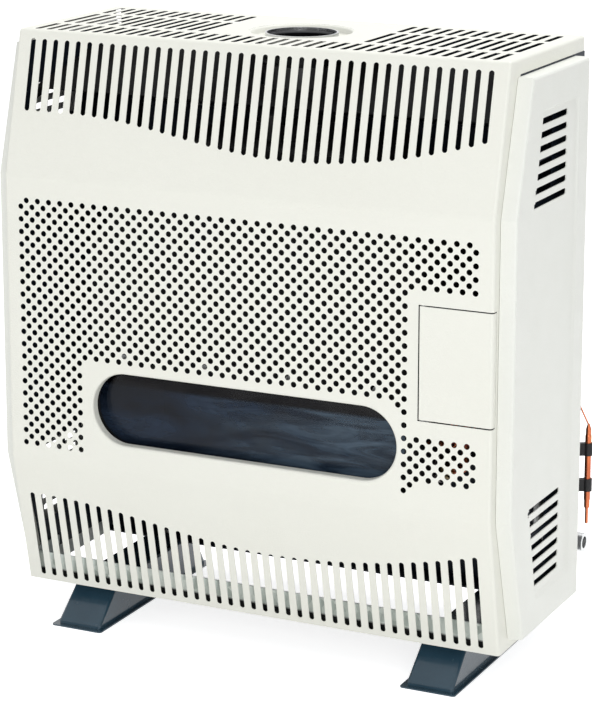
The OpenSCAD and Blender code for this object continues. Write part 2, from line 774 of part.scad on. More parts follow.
module pilot_burner() {
    color([0.7, 0.68, 0.6]) seat_down() difference() {
        union() {
            box([134, pilot_y - 4, side_z - 7], [148 - seat, pilot_y + 3, side_z + 7]);
            translate([139, pilot_y + 1, side_z + 6]) rotate([-40, 0, 0]) cylinder(h = 14, r = 4);
        }
        translate([139, pilot_y + 1, side_z + 6]) rotate([-40, 0, 0])
            translate([0, 0, 6]) cylinder(h = 10, r = 2.6);
    }
}
module pilot_pipe() {
    color([0.72, 0.5, 0.36]) seat_down() tube_path([[148, pilot_y, side_z],
        [knob_x - 22, pilot_y, side_z], [knob_x - 22, pilot_y, valve_z - seat]], 2, 8);
}
module thermocouple() {
    color([0.72, 0.5, 0.36]) seat_down() {
        translate([124, couple_y, side_z]) rotate([0, 90, 0]) cylinder(h = 24, r = 2.4);
        tube_path([[147, couple_y, side_z], [knob_x - 14, couple_y, side_z],
            [knob_x - 14, couple_y, valve_z - 6], [knob_x - 14, valve_y + 12, valve_z - 6],
            [knob_x - 14, valve_y + 12, valve_z - seat]], 1.6, 5);
    }
}
module spark_electrode() {
    color([0.9, 0.9, 0.88]) seat_down() {
        translate([128, lead_y, side_z]) rotate([0, 90, 0]) cylinder(h = 28, r = 2.4);
        translate([118, lead_y, side_z]) rotate([0, 90, 0]) cylinder(h = 12, r = 1);
    }
}
module ignition_lead() {
    color([0.75, 0.1, 0.08]) seat_down() tube_path([[156 + seat, lead_y, side_z],
        [knob_x, lead_y, side_z], [knob_x, lead_y, button_z - button_r - 9],
        [knob_x, plate_y + 49.5, button_z - button_r - 9],
        [knob_x, plate_y + 49.5, button_z - 2.6]], 1.5, 6);
}

// ---- Controls -----------------------------------------------------------

module gas_valve() {
    color([0.68, 0.69, 0.7]) seat_down() difference() {
        union() {
            box([valve_x0, valve_y, valve_z], [valve_x0 + valve_w, valve_y + valve_d, valve_z + valve_h]);
            translate([knob_x, valve_y - 6, knob_z]) rotate([-90, 0, 0]) cylinder(h = 7, r = 12);
            translate([knob_x - 4, valve_y + valve_d, knob_z + 4]) rotate([-90, 0, 0])
                cylinder(h = 8, r = 11, $fn = 6);
        }
        translate([knob_x, valve_y - 7, knob_z]) rotate([-90, 0, 0])
            cylinder(h = 34, r = spindle_r + running);
        translate([knob_x, valve_y - 7, knob_z]) rotate([-90, 0, 0])
            cylinder(h = 14, r = plunger_r + running);
        translate([knob_x - 4, valve_y + valve_d + 3, knob_z + 4]) rotate([-90, 0, 0])
            cylinder(h = 8, r = pipe_r + running);
    }
}
plunger_r = 8;
module valve_plunger() {
    color([0.75, 0.75, 0.76]) seat_down() translate([knob_x, valve_y - 9, knob_z])
        rotate([-90, 0, 0]) difference() {
            cylinder(h = 9, r = plunger_r);
            translate([0, 0, -1]) cylinder(h = 12, r = spindle_r + running);
        }
}
module knob_spindle() {
    color([0.75, 0.75, 0.76]) seat_down() translate([knob_x, knob_y + 6, knob_z])
        rotate([-90, 0, 0]) {
            cylinder(h = valve_y + 20 - knob_push - knob_y - 6, r = spindle_r);
            translate([0, 0, valve_y - 9 - seat - 2 - knob_y - 6]) cylinder(h = 2, r = spindle_r + 2.5);
        }
}
module control_knob() {
    color([0.1, 0.1, 0.11]) seat_down() translate([knob_x, knob_y, knob_z])
        rotate([-90, 0, 0]) difference() {
            union() {
                translate([0, 0, 10]) cylinder(h = knob_l - 10, r = knob_r);
                rotate_extrude() polygon([[0, 0], [knob_r - 6, 0], [knob_r - 4.5, 1.5],
                    [knob_r - 3, 10.1], [0, 10.1]]);
                translate([-3, -knob_r + 3, -1.5]) cube([6, 2*knob_r - 6, 10]);
            }
            translate([0, 0, 6 - 0.02]) cylinder(h = knob_l, r = spindle_r + 0.02);
            for (a = [0:20:340]) rotate([0, 0, a]) translate([knob_r + 1, 0, 9])
                cylinder(h = knob_l, r = 2, $fn = 16);
            translate([0, 0, knob_l - 3]) cylinder(h = 4, r = spindle_r + 3.5);
        }
}
igniter_y = plate_y - 3;
module igniter_body() {
    color([0.15, 0.15, 0.16]) seat_down() translate([knob_x, igniter_y, button_z])
        rotate([-90, 0, 0]) difference() {
            union() {
                cylinder(h = 3 - seat, r = button_r + 4);
                cylinder(h = 50, r = button_r + 2);
                translate([0, 0, 49.9]) cylinder(h = 5, r = 2.5);
            }
            translate([0, 0, -1]) cylinder(h = 22, r = button_r + running);
        }
}
module igniter_button() {
    color([0.78, 0.12, 0.1]) seat_down() translate([knob_x, igniter_y - button_push - 4, button_z])
        rotate([-90, 0, 0]) rotate_extrude() polygon([[0, 0], [button_r - 1, 0], [button_r, 1],
            [button_r, button_push + 16], [0, button_push + 16]]);
}
module control_plate() {
    color([0.22, 0.23, 0.24]) seat_down() difference() {
        union() {
            box([door_x0 + 2, plate_y, door_z0 + 2], [rail_hw, plate_y + sheet, door_z0 + door_h - 2]);
            box([rail_hw - sheet, plate_y, door_z0 + 2], [rail_hw, plate_y + 11, door_z0 + door_h - 2]);
            for (z = [door_z0 + 2, door_z0 + door_h - 2 - sheet])
                box([door_x0 + 2, plate_y - 16, z], [rail_hw, plate_y + 0.1, z + sheet]);
        }
        translate([knob_x, plate_y - 1, knob_z]) rotate([-90, 0, 0]) cylinder(h = 4, r = plunger_r + 5);
        translate([knob_x, plate_y - 1, button_z]) rotate([-90, 0, 0])
            cylinder(h = 4, r = button_r + 2 + seat);
    }
}
module valve_bracket() {
    color([0.6, 0.62, 0.62]) seat_down() difference() {
        union() {
            box([knob_x - 6, valve_y + 2, valve_z - seat - plate],
                [rail_hw, valve_y + valve_d, valve_z - seat]);
            box([rail_hw - plate, valve_y + 2, valve_z - 40], [rail_hw, valve_y + valve_d, valve_z + 40]);
            // carries the valve against the side frame
            box([valve_x0 + valve_w + seat, valve_y + 6, valve_z - seat],
                [valve_x0 + valve_w + seat + plate, valve_y + valve_d - 6, valve_z + 30]);
        }
    }
}

// ---- Gas inlet and thermostat -------------------------------------------

nipple_in = tray_hw - 12;
module inlet_nipple() {
    color([0.75, 0.76, 0.72]) seat_down() translate([0, inlet_y, inlet_z])
        rotate([0, 90, 0]) difference() {
            union() {
                translate([0, 0, nipple_in]) cylinder(h = inlet_x - nipple_in, r = inlet_r);
                translate([0, 0, tray_hw + seat]) intersection() {
                    cylinder(h = 5, r = inlet_r + 4, $fn = 6);
                    translate([-50, -inlet_r - 0.9, 0]) cube([100, 2*inlet_r + 0.9 + 3.5, 5]);
                }
                translate([0, 0, tray_hw - sheet - seat - 5]) cylinder(h = 5, r = inlet_r + 3.5, $fn = 6);
            }
            translate([0, 0, nipple_in + 14]) cylinder(h = 80, r = inlet_bore);
            translate([0, 0, nipple_in - 1]) cylinder(h = 15, r = pipe_r + running);
        }
}
gas_x = knob_x - 4;
module gas_pipe() {
    color([0.72, 0.73, 0.7]) seat_down() tube_path([[nipple_in + 12, inlet_y, inlet_z],
        [gas_x, inlet_y, inlet_z], [gas_x, inlet_y, knob_z + 4],
        [gas_x, valve_y + valve_d + 4, knob_z + 4]], pipe_r, 14);
}
module sensing_bulb() {
    color([0.72, 0.38, 0.22]) seat_down() translate([bulb_x, bulb_y, bulb_z - 19])
        rotate_extrude() polygon([[0, 0], [1.2, 0], [1.75, 1], [1.75, 17], [bulb_r - 0.4, 19.5],
            [bulb_r - 0.4, 27], [bulb_r, 28], [bulb_r, 19 + bulb_l - 14],
            [bulb_r - 0.5, 19 + bulb_l - 12], [bulb_r - 0.5, 19 + bulb_l - 6],
            [1.2, 19 + bulb_l], [0, 19 + bulb_l]]);
}
cap_x = hw + 4;      // upright run of the capillary outside the side frame
cap_y = tray_y - 24; // where it passes through the side frame
cap_z = 290;
module capillary() {
    color([0.72, 0.38, 0.22]) seat_down() {
        rod([bulb_x - 0.3, bulb_y - 1.6, bulb_z + bulb_l + 0.7], [cap_x, cap_y + 4, cap_z - 7], 0.9);
        tube_path([[cap_x, cap_y + 4, cap_z - 8], [cap_x, cap_y + 4, cap_z],
            [hw - 8, cap_y + 4, cap_z], [hw - 8, cap_y + 4, valve_z + 46],
            [hw - 8, valve_y + valve_d - 10, valve_z + 46],
            [valve_x0 + valve_w + seat, valve_y + valve_d - 10, valve_z + 46]], 1, 2.4);
    }
}
module bulb_clips() {
    color([0.08, 0.08, 0.09]) seat_down() for (z = clip_z) translate([0, 0, z]) {
        linear_extrude(clip_h) difference() {
            union() {
                translate([bulb_x, bulb_y]) circle(5.2);
                polygon([[hw - 12, flange_y + sheet + seat], [hw - 2, flange_y + sheet + seat],
                    [bulb_x - 2, bulb_y - 4.6], [bulb_x - 4.6, bulb_y + 1],
                    [hw - 10, flange_y + sheet + 4]]);
            }
            translate([bulb_x, bulb_y]) circle(bulb_r + running);
            translate([bulb_x - 1.5, bulb_y + 1]) square([3, 8]);
        }
    }
}

// ---- Control door -------------------------------------------------------

module control_door() {
    color([0.94, 0.94, 0.91]) seat_down() difference() {
        union() {
            box([pin_x, 0, door_z0], [hw, sheet, door_z0 + door_h]);
            box([hw - sheet, 0, door_z0], [hw, door_wrap, door_z0 + door_h]);
            translate([pin_x, pin_y, door_z0]) cylinder(h = door_h, r = knuckle_r);
        }
        translate([pin_x, pin_y, door_z0 - 1]) cylinder(h = door_h + 2, r = pin_r + running);
    }
}
ear_h = 12;
module door_hinge() {
    color([0.7, 0.7, 0.72]) seat_down() {
        translate([pin_x, pin_y, door_z0 - ear_h]) cylinder(h = door_h + 2*ear_h, r = pin_r);
        for (z = [door_z0 - door_gap - ear_h, door_z0 + door_h + door_gap])
            box([pin_x - knuckle_r, sheet + seat, z], [pin_x + 8, pin_y + knuckle_r, z + ear_h]);
    }
}
module door_catch() {
    color([0.85, 0.85, 0.83]) seat_down() box([hw - sheet - seat - 13, sheet + seat, door_z - 10],
        [hw - sheet - seat, door_wrap + 10, door_z + 10]);
}

// ---- Screws -------------------------------------------------------------

module casing_screws() {
    color([0.7, 0.7, 0.72]) seat_down() for (s = [-1, 1]) for (y = [rail_rear_y + 8])
        translate([s*hw, y, casing_z + 8]) rotate([0, s*90, 0]) {
            translate([0, 0, seat]) cylinder(h = 1.6, r = 3.6, $fn = 20);
            translate([0, 0, -8]) cylinder(h = 8 + seat + 0.1, r = 1.8, $fn = 20);
        }
}
module panel_screws() {
    color([0.7, 0.7, 0.72]) seat_down() for (s = [-1, 1]) for (z = screw_z)
        translate([s*frame_x, pod_back - 8, z]) rotate([0, s*90, 0]) {
            translate([0, 0, -seat - 1.8]) cylinder(h = 1.8, r = 3.6, $fn = 20);
            translate([0, 0, -seat - 0.1]) cylinder(h = 9, r = 1.8, $fn = 20);
        }
}

front_casing();
casing_hood();
casing_apron();
casing_top();
left_casing_side();
right_casing_side();
window_rim();
left_side_panel();
right_side_panel();
left_side_frame();
right_side_frame();
rear_frame();
base_rail_front();
base_rail_rear();
left_foot();
right_foot();
foot_bolts();
combustion_chamber();
chamber_standoffs();
heat_shield();
air_deflector();
draught_diverter();
flue_collar();
window_retainer();
window_glass();
window_gasket();
window_screws();
burner_tube();
burner_bracket();
injector();
manifold_pipe();
pilot_burner();
pilot_pipe();
spark_electrode();
ignition_lead();
thermocouple();
gas_valve();
valve_bracket();
control_plate();
valve_plunger();
knob_spindle();
control_knob();
igniter_body();
igniter_button();
gas_pipe();
inlet_nipple();
sensing_bulb();
capillary();
bulb_clips();
control_door();
door_hinge();
door_catch();
casing_screws();
panel_screws();
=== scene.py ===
# %% [markdown]
# # A flued gas heater, dressed for a studio picture
# The steel, the burner and the gas lines come from the imported CAD model.
# This lesson adds what a render needs on top: soft bends in the pressed
# casing, its punched holes, a fluted knob, rounded feet, and a finish for
# every surface. Each step first says what the real thing is.
#
# ## Loading the frame
# The CAD model is the fixed frame, in metres.

# %% Load the frame
import bpy
import bmesh
import json
import math
from mathutils import Matrix, Vector


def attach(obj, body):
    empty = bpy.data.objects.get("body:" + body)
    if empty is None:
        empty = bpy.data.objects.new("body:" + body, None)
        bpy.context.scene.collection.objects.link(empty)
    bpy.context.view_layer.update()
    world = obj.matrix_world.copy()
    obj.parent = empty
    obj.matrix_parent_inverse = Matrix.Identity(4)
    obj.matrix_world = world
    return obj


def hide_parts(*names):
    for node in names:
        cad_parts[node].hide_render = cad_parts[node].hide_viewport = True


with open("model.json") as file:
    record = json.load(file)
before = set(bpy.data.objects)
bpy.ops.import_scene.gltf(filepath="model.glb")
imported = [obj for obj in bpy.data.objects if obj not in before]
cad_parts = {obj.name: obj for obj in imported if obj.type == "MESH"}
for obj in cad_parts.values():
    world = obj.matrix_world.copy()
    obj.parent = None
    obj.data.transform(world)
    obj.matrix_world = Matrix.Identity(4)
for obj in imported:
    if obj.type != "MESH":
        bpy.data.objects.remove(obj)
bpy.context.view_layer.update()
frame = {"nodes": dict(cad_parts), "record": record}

# %% [markdown]
# ## Units
# Sheet metal is drawn in millimetres, with depth counted from the front
# panel. We model in those numbers and move each finished mesh into metres
# once, so every object sits at the origin with its place in its mesh.

# %% From millimetres to the frame
FRONT = -0.144
TO_METRES = Matrix.Translation((0, FRONT, 0)) @ Matrix.Scale(0.001, 4)


def make_object(name, bm, finish):
    bmesh.ops.transform(bm, matrix=TO_METRES, verts=bm.verts)
    mesh = bpy.data.meshes.new(name)
    bm.to_mesh(mesh)
    bm.free()
    if finish:
        mesh.materials.append(finish)
    obj = bpy.data.objects.new(name, mesh)
    bpy.context.scene.collection.objects.link(obj)
    return obj


print("a millimetre is", TO_METRES.to_scale().x, "of a scene unit")

# %% [markdown]
# ## Keeping what modifiers make
# Some modifiers only prepare a shape. We keep their result as the piece's
# own mesh. The last one, weighted normals, stays live: on pressed steel it
# keeps the large flats flat and lets only the narrow bends shade round.

# %% Apply and shade


def keep_result(obj):
    graph = bpy.context.evaluated_depsgraph_get()
    mesh = bpy.data.meshes.new_from_object(obj.evaluated_get(graph))
    obj.modifiers.clear()
    old, obj.data = obj.data, mesh
    bpy.data.meshes.remove(old)


def shade_pressed(obj, angle=32):
    obj.data.shade_smooth()
    obj.data.set_sharp_from_angle(angle=math.radians(angle))
    normals = obj.modifiers.new("flat_faces_stay_flat", "WEIGHTED_NORMAL")
    normals.keep_sharp = True
    normals.weight = 90
    print(obj.name, len(obj.data.polygons), "faces")


# %% [markdown]
# ## A small kit for finishes
# Every finish here starts from the Principled shader and reads Object
# coordinates, so a pattern keeps its size on each piece. Noise gives
# uneven dust and wear, and a height wired to Bump gives the fine relief.

# %% Finish helpers


def new_finish(name, colour, rough=0.5, metal=0.0, **inputs):
    finish = bpy.data.materials.new(name)
    finish.use_nodes = True
    tree = finish.node_tree
    shader = tree.nodes["Principled BSDF"]
    shader.inputs["Base Color"].default_value = (*colour, 1)
    shader.inputs["Roughness"].default_value = rough
    shader.inputs["Metallic"].default_value = metal
    for key, value in inputs.items():
        shader.inputs[key.replace("_", " ")].default_value = value
    place = tree.nodes.new("ShaderNodeTexCoord").outputs["Object"]
    return finish, tree, shader, place


def stretched(tree, place, scale):
    mapping = tree.nodes.new("ShaderNodeMapping")
    mapping.inputs["Scale"].default_value = scale
    tree.links.new(place, mapping.inputs["Vector"])
    return mapping.outputs["Vector"]


def noise(tree, place, scale, detail=3.0, rough=0.5, swirl=0.0):
    node = tree.nodes.new("ShaderNodeTexNoise")
    node.inputs["Scale"].default_value = scale
    node.inputs["Detail"].default_value = detail
    node.inputs["Roughness"].default_value = rough
    node.inputs["Distortion"].default_value = swirl
    tree.links.new(place, node.inputs["Vector"])
    return node.outputs["Fac"]


def along(tree, place, axis, start, end):
    split = tree.nodes.new("ShaderNodeSeparateXYZ")
    tree.links.new(place, split.inputs["Vector"])
    ramp = tree.nodes.new("ShaderNodeMapRange")
    ramp.inputs["From Min"].default_value = start
    ramp.inputs["From Max"].default_value = end
    tree.links.new(split.outputs[axis], ramp.inputs["Value"])
    return ramp.outputs["Result"]


def mix_colours(tree, share, first, second):
    node = tree.nodes.new("ShaderNodeMix")
    node.data_type = "RGBA"
    tree.links.new(share, node.inputs["Factor"])
    for socket, colour in ((node.inputs[6], first), (node.inputs[7], second)):
        if isinstance(colour, tuple):
            socket.default_value = (*colour, 1)
        else:
            tree.links.new(colour, socket)
    return node.outputs[2]


def cells(tree, place, scale, feature="F1"):
    node = tree.nodes.new("ShaderNodeTexVoronoi")
    node.feature = feature
    node.inputs["Scale"].default_value = scale
    tree.links.new(place, node.inputs["Vector"])
    return node


def spread(tree, value, low, high):
    node = tree.nodes.new("ShaderNodeMapRange")
    node.inputs["From Min"].default_value = 0.25
    node.inputs["From Max"].default_value = 0.75
    node.inputs["To Min"].default_value = low
    node.inputs["To Max"].default_value = high
    tree.links.new(value, node.inputs["Value"])
    return node.outputs["Result"]


def blend_colours(tree, value, first, second, low=0.35, high=0.65):
    node = tree.nodes.new("ShaderNodeValToRGB")
    node.color_ramp.elements[0].position = low
    node.color_ramp.elements[0].color = (*first, 1)
    node.color_ramp.elements[1].position = high
    node.color_ramp.elements[1].color = (*second, 1)
    tree.links.new(value, node.inputs["Fac"])
    return node.outputs["Color"]


def add_relief(tree, shader, heights):
    normal = None
    for height, distance in heights:
        bump = tree.nodes.new("ShaderNodeBump")
        bump.inputs["Strength"].default_value = 1.0
        bump.inputs["Distance"].default_value = distance
        tree.links.new(height, bump.inputs["Height"])
        if normal:
            tree.links.new(normal, bump.inputs["Normal"])
        normal = bump.outputs["Normal"]
    tree.links.new(normal, shader.inputs["Normal"])


print("finish kit ready")

# %% [markdown]
# ## Powder coat
# The casing is ivory powder coat. Baked powder melts into a skin with a
# fine pebbled relief about a millimetre across, over long faint waves. Two
# bumps in a row give both, and the colour drifts by a percent or two so
# that no large flat looks like plastic film. In the upper part of the
# casing, inner faces and punched edges are painted near black, as painted
# shade where little light reaches inside. They are the ones whose normal
# doesn't point away from a line through the middle.

# %% Ivory powder coat


def calculate(tree, operation, first, second=0.0):
    node = tree.nodes.new("ShaderNodeMath")
    node.operation = operation
    for socket, value in zip(node.inputs, (first, second)):
        if isinstance(value, float):
            socket.default_value = value
        else:
            tree.links.new(value, socket)
    return node.outputs["Value"]


def looking_in(tree, place):
    reach = tree.nodes.new("ShaderNodeVectorMath")
    reach.operation = "MULTIPLY_ADD"
    reach.inputs[1].default_value = (0, 1, 1)
    reach.inputs[2].default_value = (0, 0, -0.4)
    tree.links.new(place, reach.inputs[0])
    outward = tree.nodes.new("ShaderNodeVectorMath")
    outward.operation = "DOT_PRODUCT"
    tree.links.new(reach.outputs["Vector"], outward.inputs[0])
    tree.links.new(tree.nodes.new("ShaderNodeNewGeometry").outputs["True Normal"], outward.inputs[1])
    split = tree.nodes.new("ShaderNodeSeparateXYZ")
    tree.links.new(place, split.inputs["Vector"])
    inner = calculate(tree, "LESS_THAN", outward.outputs["Value"], 0.04)
    between_sides = calculate(tree, "LESS_THAN", calculate(tree, "ABSOLUTE", split.outputs["X"]), 0.284)
    return calculate(tree, "MULTIPLY", inner, between_sides)


def powder_coat(name, colour, dust, painted_inner_shade=False):
    finish, tree, shader, place = new_finish(name, colour, 0.42, Coat_Weight=0.08, Coat_Roughness=0.25,
                                             Specular_IOR_Level=0.3)
    powder = blend_colours(tree, noise(tree, place, 6, 4), colour, dust, 0.3, 0.72)
    if painted_inner_shade:
        # Near-black painted shade on the inner faces and punched edges of the upper casing.
        inside = mix_colours(tree, along(tree, place, "Z", 0.2, 0.25), colour, (0.02, 0.02, 0.022))
        powder = mix_colours(tree, looking_in(tree, place), powder, inside)
    tree.links.new(powder, shader.inputs["Base Color"])
    tree.links.new(spread(tree, noise(tree, place, 40, 5), 0.36, 0.5), shader.inputs["Roughness"])
    pebbles = cells(tree, place, 650, "SMOOTH_F1")
    pebbles.inputs["Smoothness"].default_value = 0.7
    add_relief(tree, shader, [(pebbles.outputs["Distance"], 0.00022), (noise(tree, place, 28, 2), 0.0004)])
    return finish


casing_paint = powder_coat("ivory_powder_coat", (0.88, 0.88, 0.805), (0.865, 0.863, 0.785))
shell_paint = powder_coat("shell_powder_coat", (0.88, 0.88, 0.805), (0.865, 0.863, 0.785),
                          painted_inner_shade=True)
# The side panels get a cooler copy of the same ivory: painted shade for the sides.
shaded_side_paint = powder_coat("side_ivory_painted_shade_coat", (0.87, 0.878, 0.825), (0.85, 0.856, 0.8))
print(casing_paint.name, shell_paint.name, shaded_side_paint.name)

# %% [markdown]
# ## Dark enamel on chassis and feet
# The chassis has a thin dark blue paint, and the feet a thicker glossy
# enamel. The same recipe serves both. A clear coat over a darker base
# gives the crisp highlight down the bend of a foot, and fine noise in the
# roughness breaks that highlight up as wiped paint does.

# %% Blue paints


def blue_enamel(name, colour, worn, rough, coat, shine):
    finish, tree, shader, place = new_finish(name, colour, rough, Coat_Weight=coat, Coat_Roughness=0.12,
                                             Specular_IOR_Level=shine)
    paint = blend_colours(tree, noise(tree, place, 22, 6, 0.6), colour, worn)
    tree.links.new(paint, shader.inputs["Base Color"])
    wiped = spread(tree, noise(tree, place, 90, 4), rough - 0.07, rough + 0.09)
    tree.links.new(wiped, shader.inputs["Roughness"])
    add_relief(tree, shader, [(noise(tree, place, 300, 2), 0.00006)])
    return finish


foot_paint = blue_enamel("foot_enamel", (0.019, 0.052, 0.08), (0.026, 0.064, 0.096), 0.2, 0.4, 0.35)
chassis_paint = blue_enamel("chassis_paint", (0.006, 0.011, 0.022), (0.009, 0.016, 0.028), 0.5, 0.02, 0.25)
print(foot_paint.name, chassis_paint.name)

# %% [markdown]
# ## Bare and plated metals
# Galvanised rails show large angular crystals, the flue collar is turned
# bright, pipes are drawn, and the burner has straw and blue heat tints.
# Voronoi cells make the crystals. Noise squeezed along one axis makes
# drawing and turning lines. Scale alone tells these metals apart.

# %% Galvanised steel and zinc


def galvanised_steel():
    finish, tree, shader, place = new_finish("galvanised_steel", (0.6, 0.63, 0.6), 0.4, 0.5)
    crystals = cells(tree, place, 110)
    spangle = blend_colours(tree, crystals.outputs["Color"], (0.62, 0.68, 0.64), (0.84, 0.88, 0.84),
                            0.2, 0.8)
    # Below the rail's upper flange the zinc is painted near black: a painted shadow from the casing's
    # lower border.
    above_painted_shadow = along(tree, place, "Z", 0.0565, 0.059)
    # High up, the galvanised parts turn near black and not metallic: painted shade inside the casing.
    painted_shade_high = along(tree, place, "Z", 0.44, 0.54)
    with_painted_shadow = mix_colours(tree, above_painted_shadow, (0.006, 0.006, 0.007), spangle)
    tree.links.new(mix_colours(tree, painted_shade_high, with_painted_shadow, (0.012, 0.012, 0.013)), shader.inputs["Base Color"])
    tree.links.new(spread(tree, painted_shade_high, 0.5, 0.0), shader.inputs["Metallic"])
    tree.links.new(spread(tree, crystals.outputs["Color"], 0.3, 0.52), shader.inputs["Roughness"])
    add_relief(tree, shader, [(noise(tree, place, 400, 3), 0.00004)])
    return finish


def lined_metal(name, colour, other, rough, squeeze, painted_shade_top=None):
    finish, tree, shader, place = new_finish(name, colour, rough, 1.0, Specular_IOR_Level=0.15)
    lines = noise(tree, stretched(tree, place, squeeze), 60, 4, 0.6)
    cloud = noise(tree, place, 30, 4)
    metal = blend_colours(tree, cloud, colour, other, 0.3, 0.7)
    if painted_shade_top:
        # Below the given height the inside of the collar is painted near black and not metallic: painted
        # shade down the flue.
        above_painted_shade = along(tree, place, "Z", painted_shade_top - 0.004, painted_shade_top)
        metal = mix_colours(tree, above_painted_shade, (0.004, 0.004, 0.005), metal)
        tree.links.new(above_painted_shade, shader.inputs["Metallic"])
    tree.links.new(metal, shader.inputs["Base Color"])
    tree.links.new(spread(tree, lines, rough - 0.08, rough + 0.12), shader.inputs["Roughness"])
    add_relief(tree, shader, [(lines, 0.00003)])
    return finish


galvanised = galvanised_steel()
zinc = lined_metal("zinc_plate", (0.62, 0.63, 0.64), (0.56, 0.57, 0.56), 0.34, (20, 20, 20))
bright_steel = lined_metal("turned_bright_steel", (0.66, 0.67, 0.68), (0.6, 0.61, 0.62), 0.2, (1, 1, 40),
                           painted_shade_top=0.6665)
burner_steel = lined_metal("heat_tinted_steel", (0.42, 0.37, 0.31), (0.27, 0.27, 0.33), 0.36, (1, 12, 12))
print("metals:", galvanised.name, zinc.name, bright_steel.name, burner_steel.name)

# %% Copper, brass and cast alloy
copper = lined_metal("drawn_copper", (0.62, 0.19, 0.08), (0.42, 0.115, 0.055), 0.36, (25, 25, 1))
brass = lined_metal("turned_brass", (0.73, 0.55, 0.26), (0.62, 0.46, 0.22), 0.28, (40, 1, 1))


def cast_alloy():
    finish, tree, shader, place = new_finish("cast_alloy", (0.55, 0.56, 0.57), 0.5, 0.85)
    alloy = blend_colours(tree, noise(tree, place, 60, 5), (0.5, 0.51, 0.52), (0.6, 0.61, 0.62))
    tree.links.new(alloy, shader.inputs["Base Color"])
    add_relief(tree, shader, [(noise(tree, place, 900, 2), 0.00012)])
    return finish


valve_alloy = cast_alloy()
print(copper.name, brass.name, valve_alloy.name)

# %% [markdown]
# ## Stove black, plastics, lead and gasket
# Heat-proof black is dead matt with a sooty bloom. Knob and clips are
# grained black plastic, the button is smooth red, the lead is silicone
# rubber, and the gasket is a woven ceramic tape. Two crossed waves make
# the weave. The rest differ in grain size and gloss.

# %% Dark and soft finishes


def grained(name, colour, other, rough, grain, depth, **inputs):
    finish, tree, shader, place = new_finish(name, colour, rough, **inputs)
    mottle = blend_colours(tree, noise(tree, place, 35, 5), colour, other)
    tree.links.new(mottle, shader.inputs["Base Color"])
    dull = spread(tree, noise(tree, place, 70, 3), rough - 0.06, rough + 0.08)
    tree.links.new(dull, shader.inputs["Roughness"])
    add_relief(tree, shader, [(noise(tree, place, grain, 2), depth)])
    return finish


stove_black = grained("stove_black", (0.007, 0.0075, 0.009), (0.014, 0.0135, 0.0135), 0.8, 700, 0.0001,
                      Specular_IOR_Level=0.2)
black_plastic = grained("grained_black_plastic", (0.014, 0.014, 0.015), (0.02, 0.02, 0.021), 0.45,
                        1500, 0.00008,
                        Specular_IOR_Level=0.25)
button_red = grained("smooth_red_plastic", (0.55, 0.03, 0.025), (0.5, 0.028, 0.022), 0.25, 400, 0.00002,
                     Coat_Weight=0.4)
catch_white = grained("white_plastic", (0.7, 0.7, 0.67), (0.65, 0.65, 0.62), 0.4, 900, 0.00005)
lead_rubber = grained("red_silicone", (0.42, 0.04, 0.03), (0.35, 0.035, 0.028), 0.55, 900, 0.00006)
plate_paint = grained("dark_plate_paint", (0.075, 0.08, 0.088), (0.095, 0.1, 0.108), 0.5, 800, 0.00012)
ceramic = grained("glazed_ceramic", (0.8, 0.79, 0.74), (0.74, 0.73, 0.68), 0.2, 250, 0.00003,
                  Coat_Weight=0.6)
print("grained finishes ready")

# %% Woven gasket tape


def woven_tape():
    finish, tree, shader, place = new_finish("woven_tape", (0.62, 0.61, 0.57), 0.9)
    heights = []
    for direction in ("X", "Z"):
        wave = tree.nodes.new("ShaderNodeTexWave")
        wave.bands_direction = direction
        wave.inputs["Scale"].default_value = 160
        wave.inputs["Distortion"].default_value = 1.2
        tree.links.new(place, wave.inputs["Vector"])
        heights.append((wave.outputs["Fac"], 0.0005))
    add_relief(tree, shader, heights)
    tape = blend_colours(tree, noise(tree, place, 25, 5), (0.62, 0.61, 0.57), (0.42, 0.41, 0.39))
    tree.links.new(tape, shader.inputs["Base Color"])
    return finish


gasket_tape = woven_tape()
print(gasket_tape.name)

# %% [markdown]
# ## Window glass
# The glass is dark and heat-proof, and years of flue gas leave a cloudy
# bluish film inside it. Clear transmission alone would look black and
# new. We mix it with a faint satin film, whose strength follows soft,
# stretched noise, so that streaks show where the light grazes it. The
# film's colour is partly the film and partly painted reflection, lighter
# towards the right, and a near-black band under the top rim is a painted
# shadow.

# %% Smoked glass with a film


def smoked_glass():
    finish, tree, shader, place = new_finish("smoked_glass", (0.3, 0.36, 0.46), 0.03,
                                             Transmission_Weight=1.0, IOR=1.5, Specular_IOR_Level=0.1)
    film = tree.nodes.new("ShaderNodeBsdfPrincipled")
    film.inputs["Roughness"].default_value = 0.3
    film.inputs["Specular IOR Level"].default_value = 0.05
    folds = noise(tree, stretched(tree, place, (0.8, 1, 2.2)), 7, 6, 0.6, 1.6)
    creases = noise(tree, stretched(tree, place, (0.5, 1, 3.4)), 13, 3, 0.5, 2.4)
    left = blend_colours(tree, folds, (0.001, 0.003, 0.008), (0.022, 0.034, 0.058), 0.42, 0.66)
    right = blend_colours(tree, creases, (0.01, 0.02, 0.036), (0.08, 0.12, 0.165), 0.36, 0.64)
    # The film's colour gets lighter towards the right: painted reflection.
    film_and_painted_reflection = mix_colours(tree, along(tree, place, "X", -0.08, 0.16), left, right)
    # A near-black band under the top rim: painted shadow.
    tree.links.new(mix_colours(tree, along(tree, place, "Z", 0.2865, 0.2905), film_and_painted_reflection, (0.0, 0.0, 0.001)),
                   film.inputs["Base Color"])
    mix = tree.nodes.new("ShaderNodeMixShader")
    tree.links.new(spread(tree, folds, 0.6, 0.95), mix.inputs["Fac"])
    tree.links.new(shader.outputs["BSDF"], mix.inputs[1])
    tree.links.new(film.outputs["BSDF"], mix.inputs[2])
    add_relief(tree, film, [(noise(tree, place, 9, 2), 0.0006)])
    out = tree.nodes["Material Output"]
    tree.links.new(mix.outputs["Shader"], out.inputs["Surface"])
    return finish


window_glass = smoked_glass()
print(window_glass.name)

# %% [markdown]
# ## Giving each CAD node its finish
# The record names a material slot for each node. One table from slot to
# finish dresses the whole frame, and nothing is left bare by mistake.

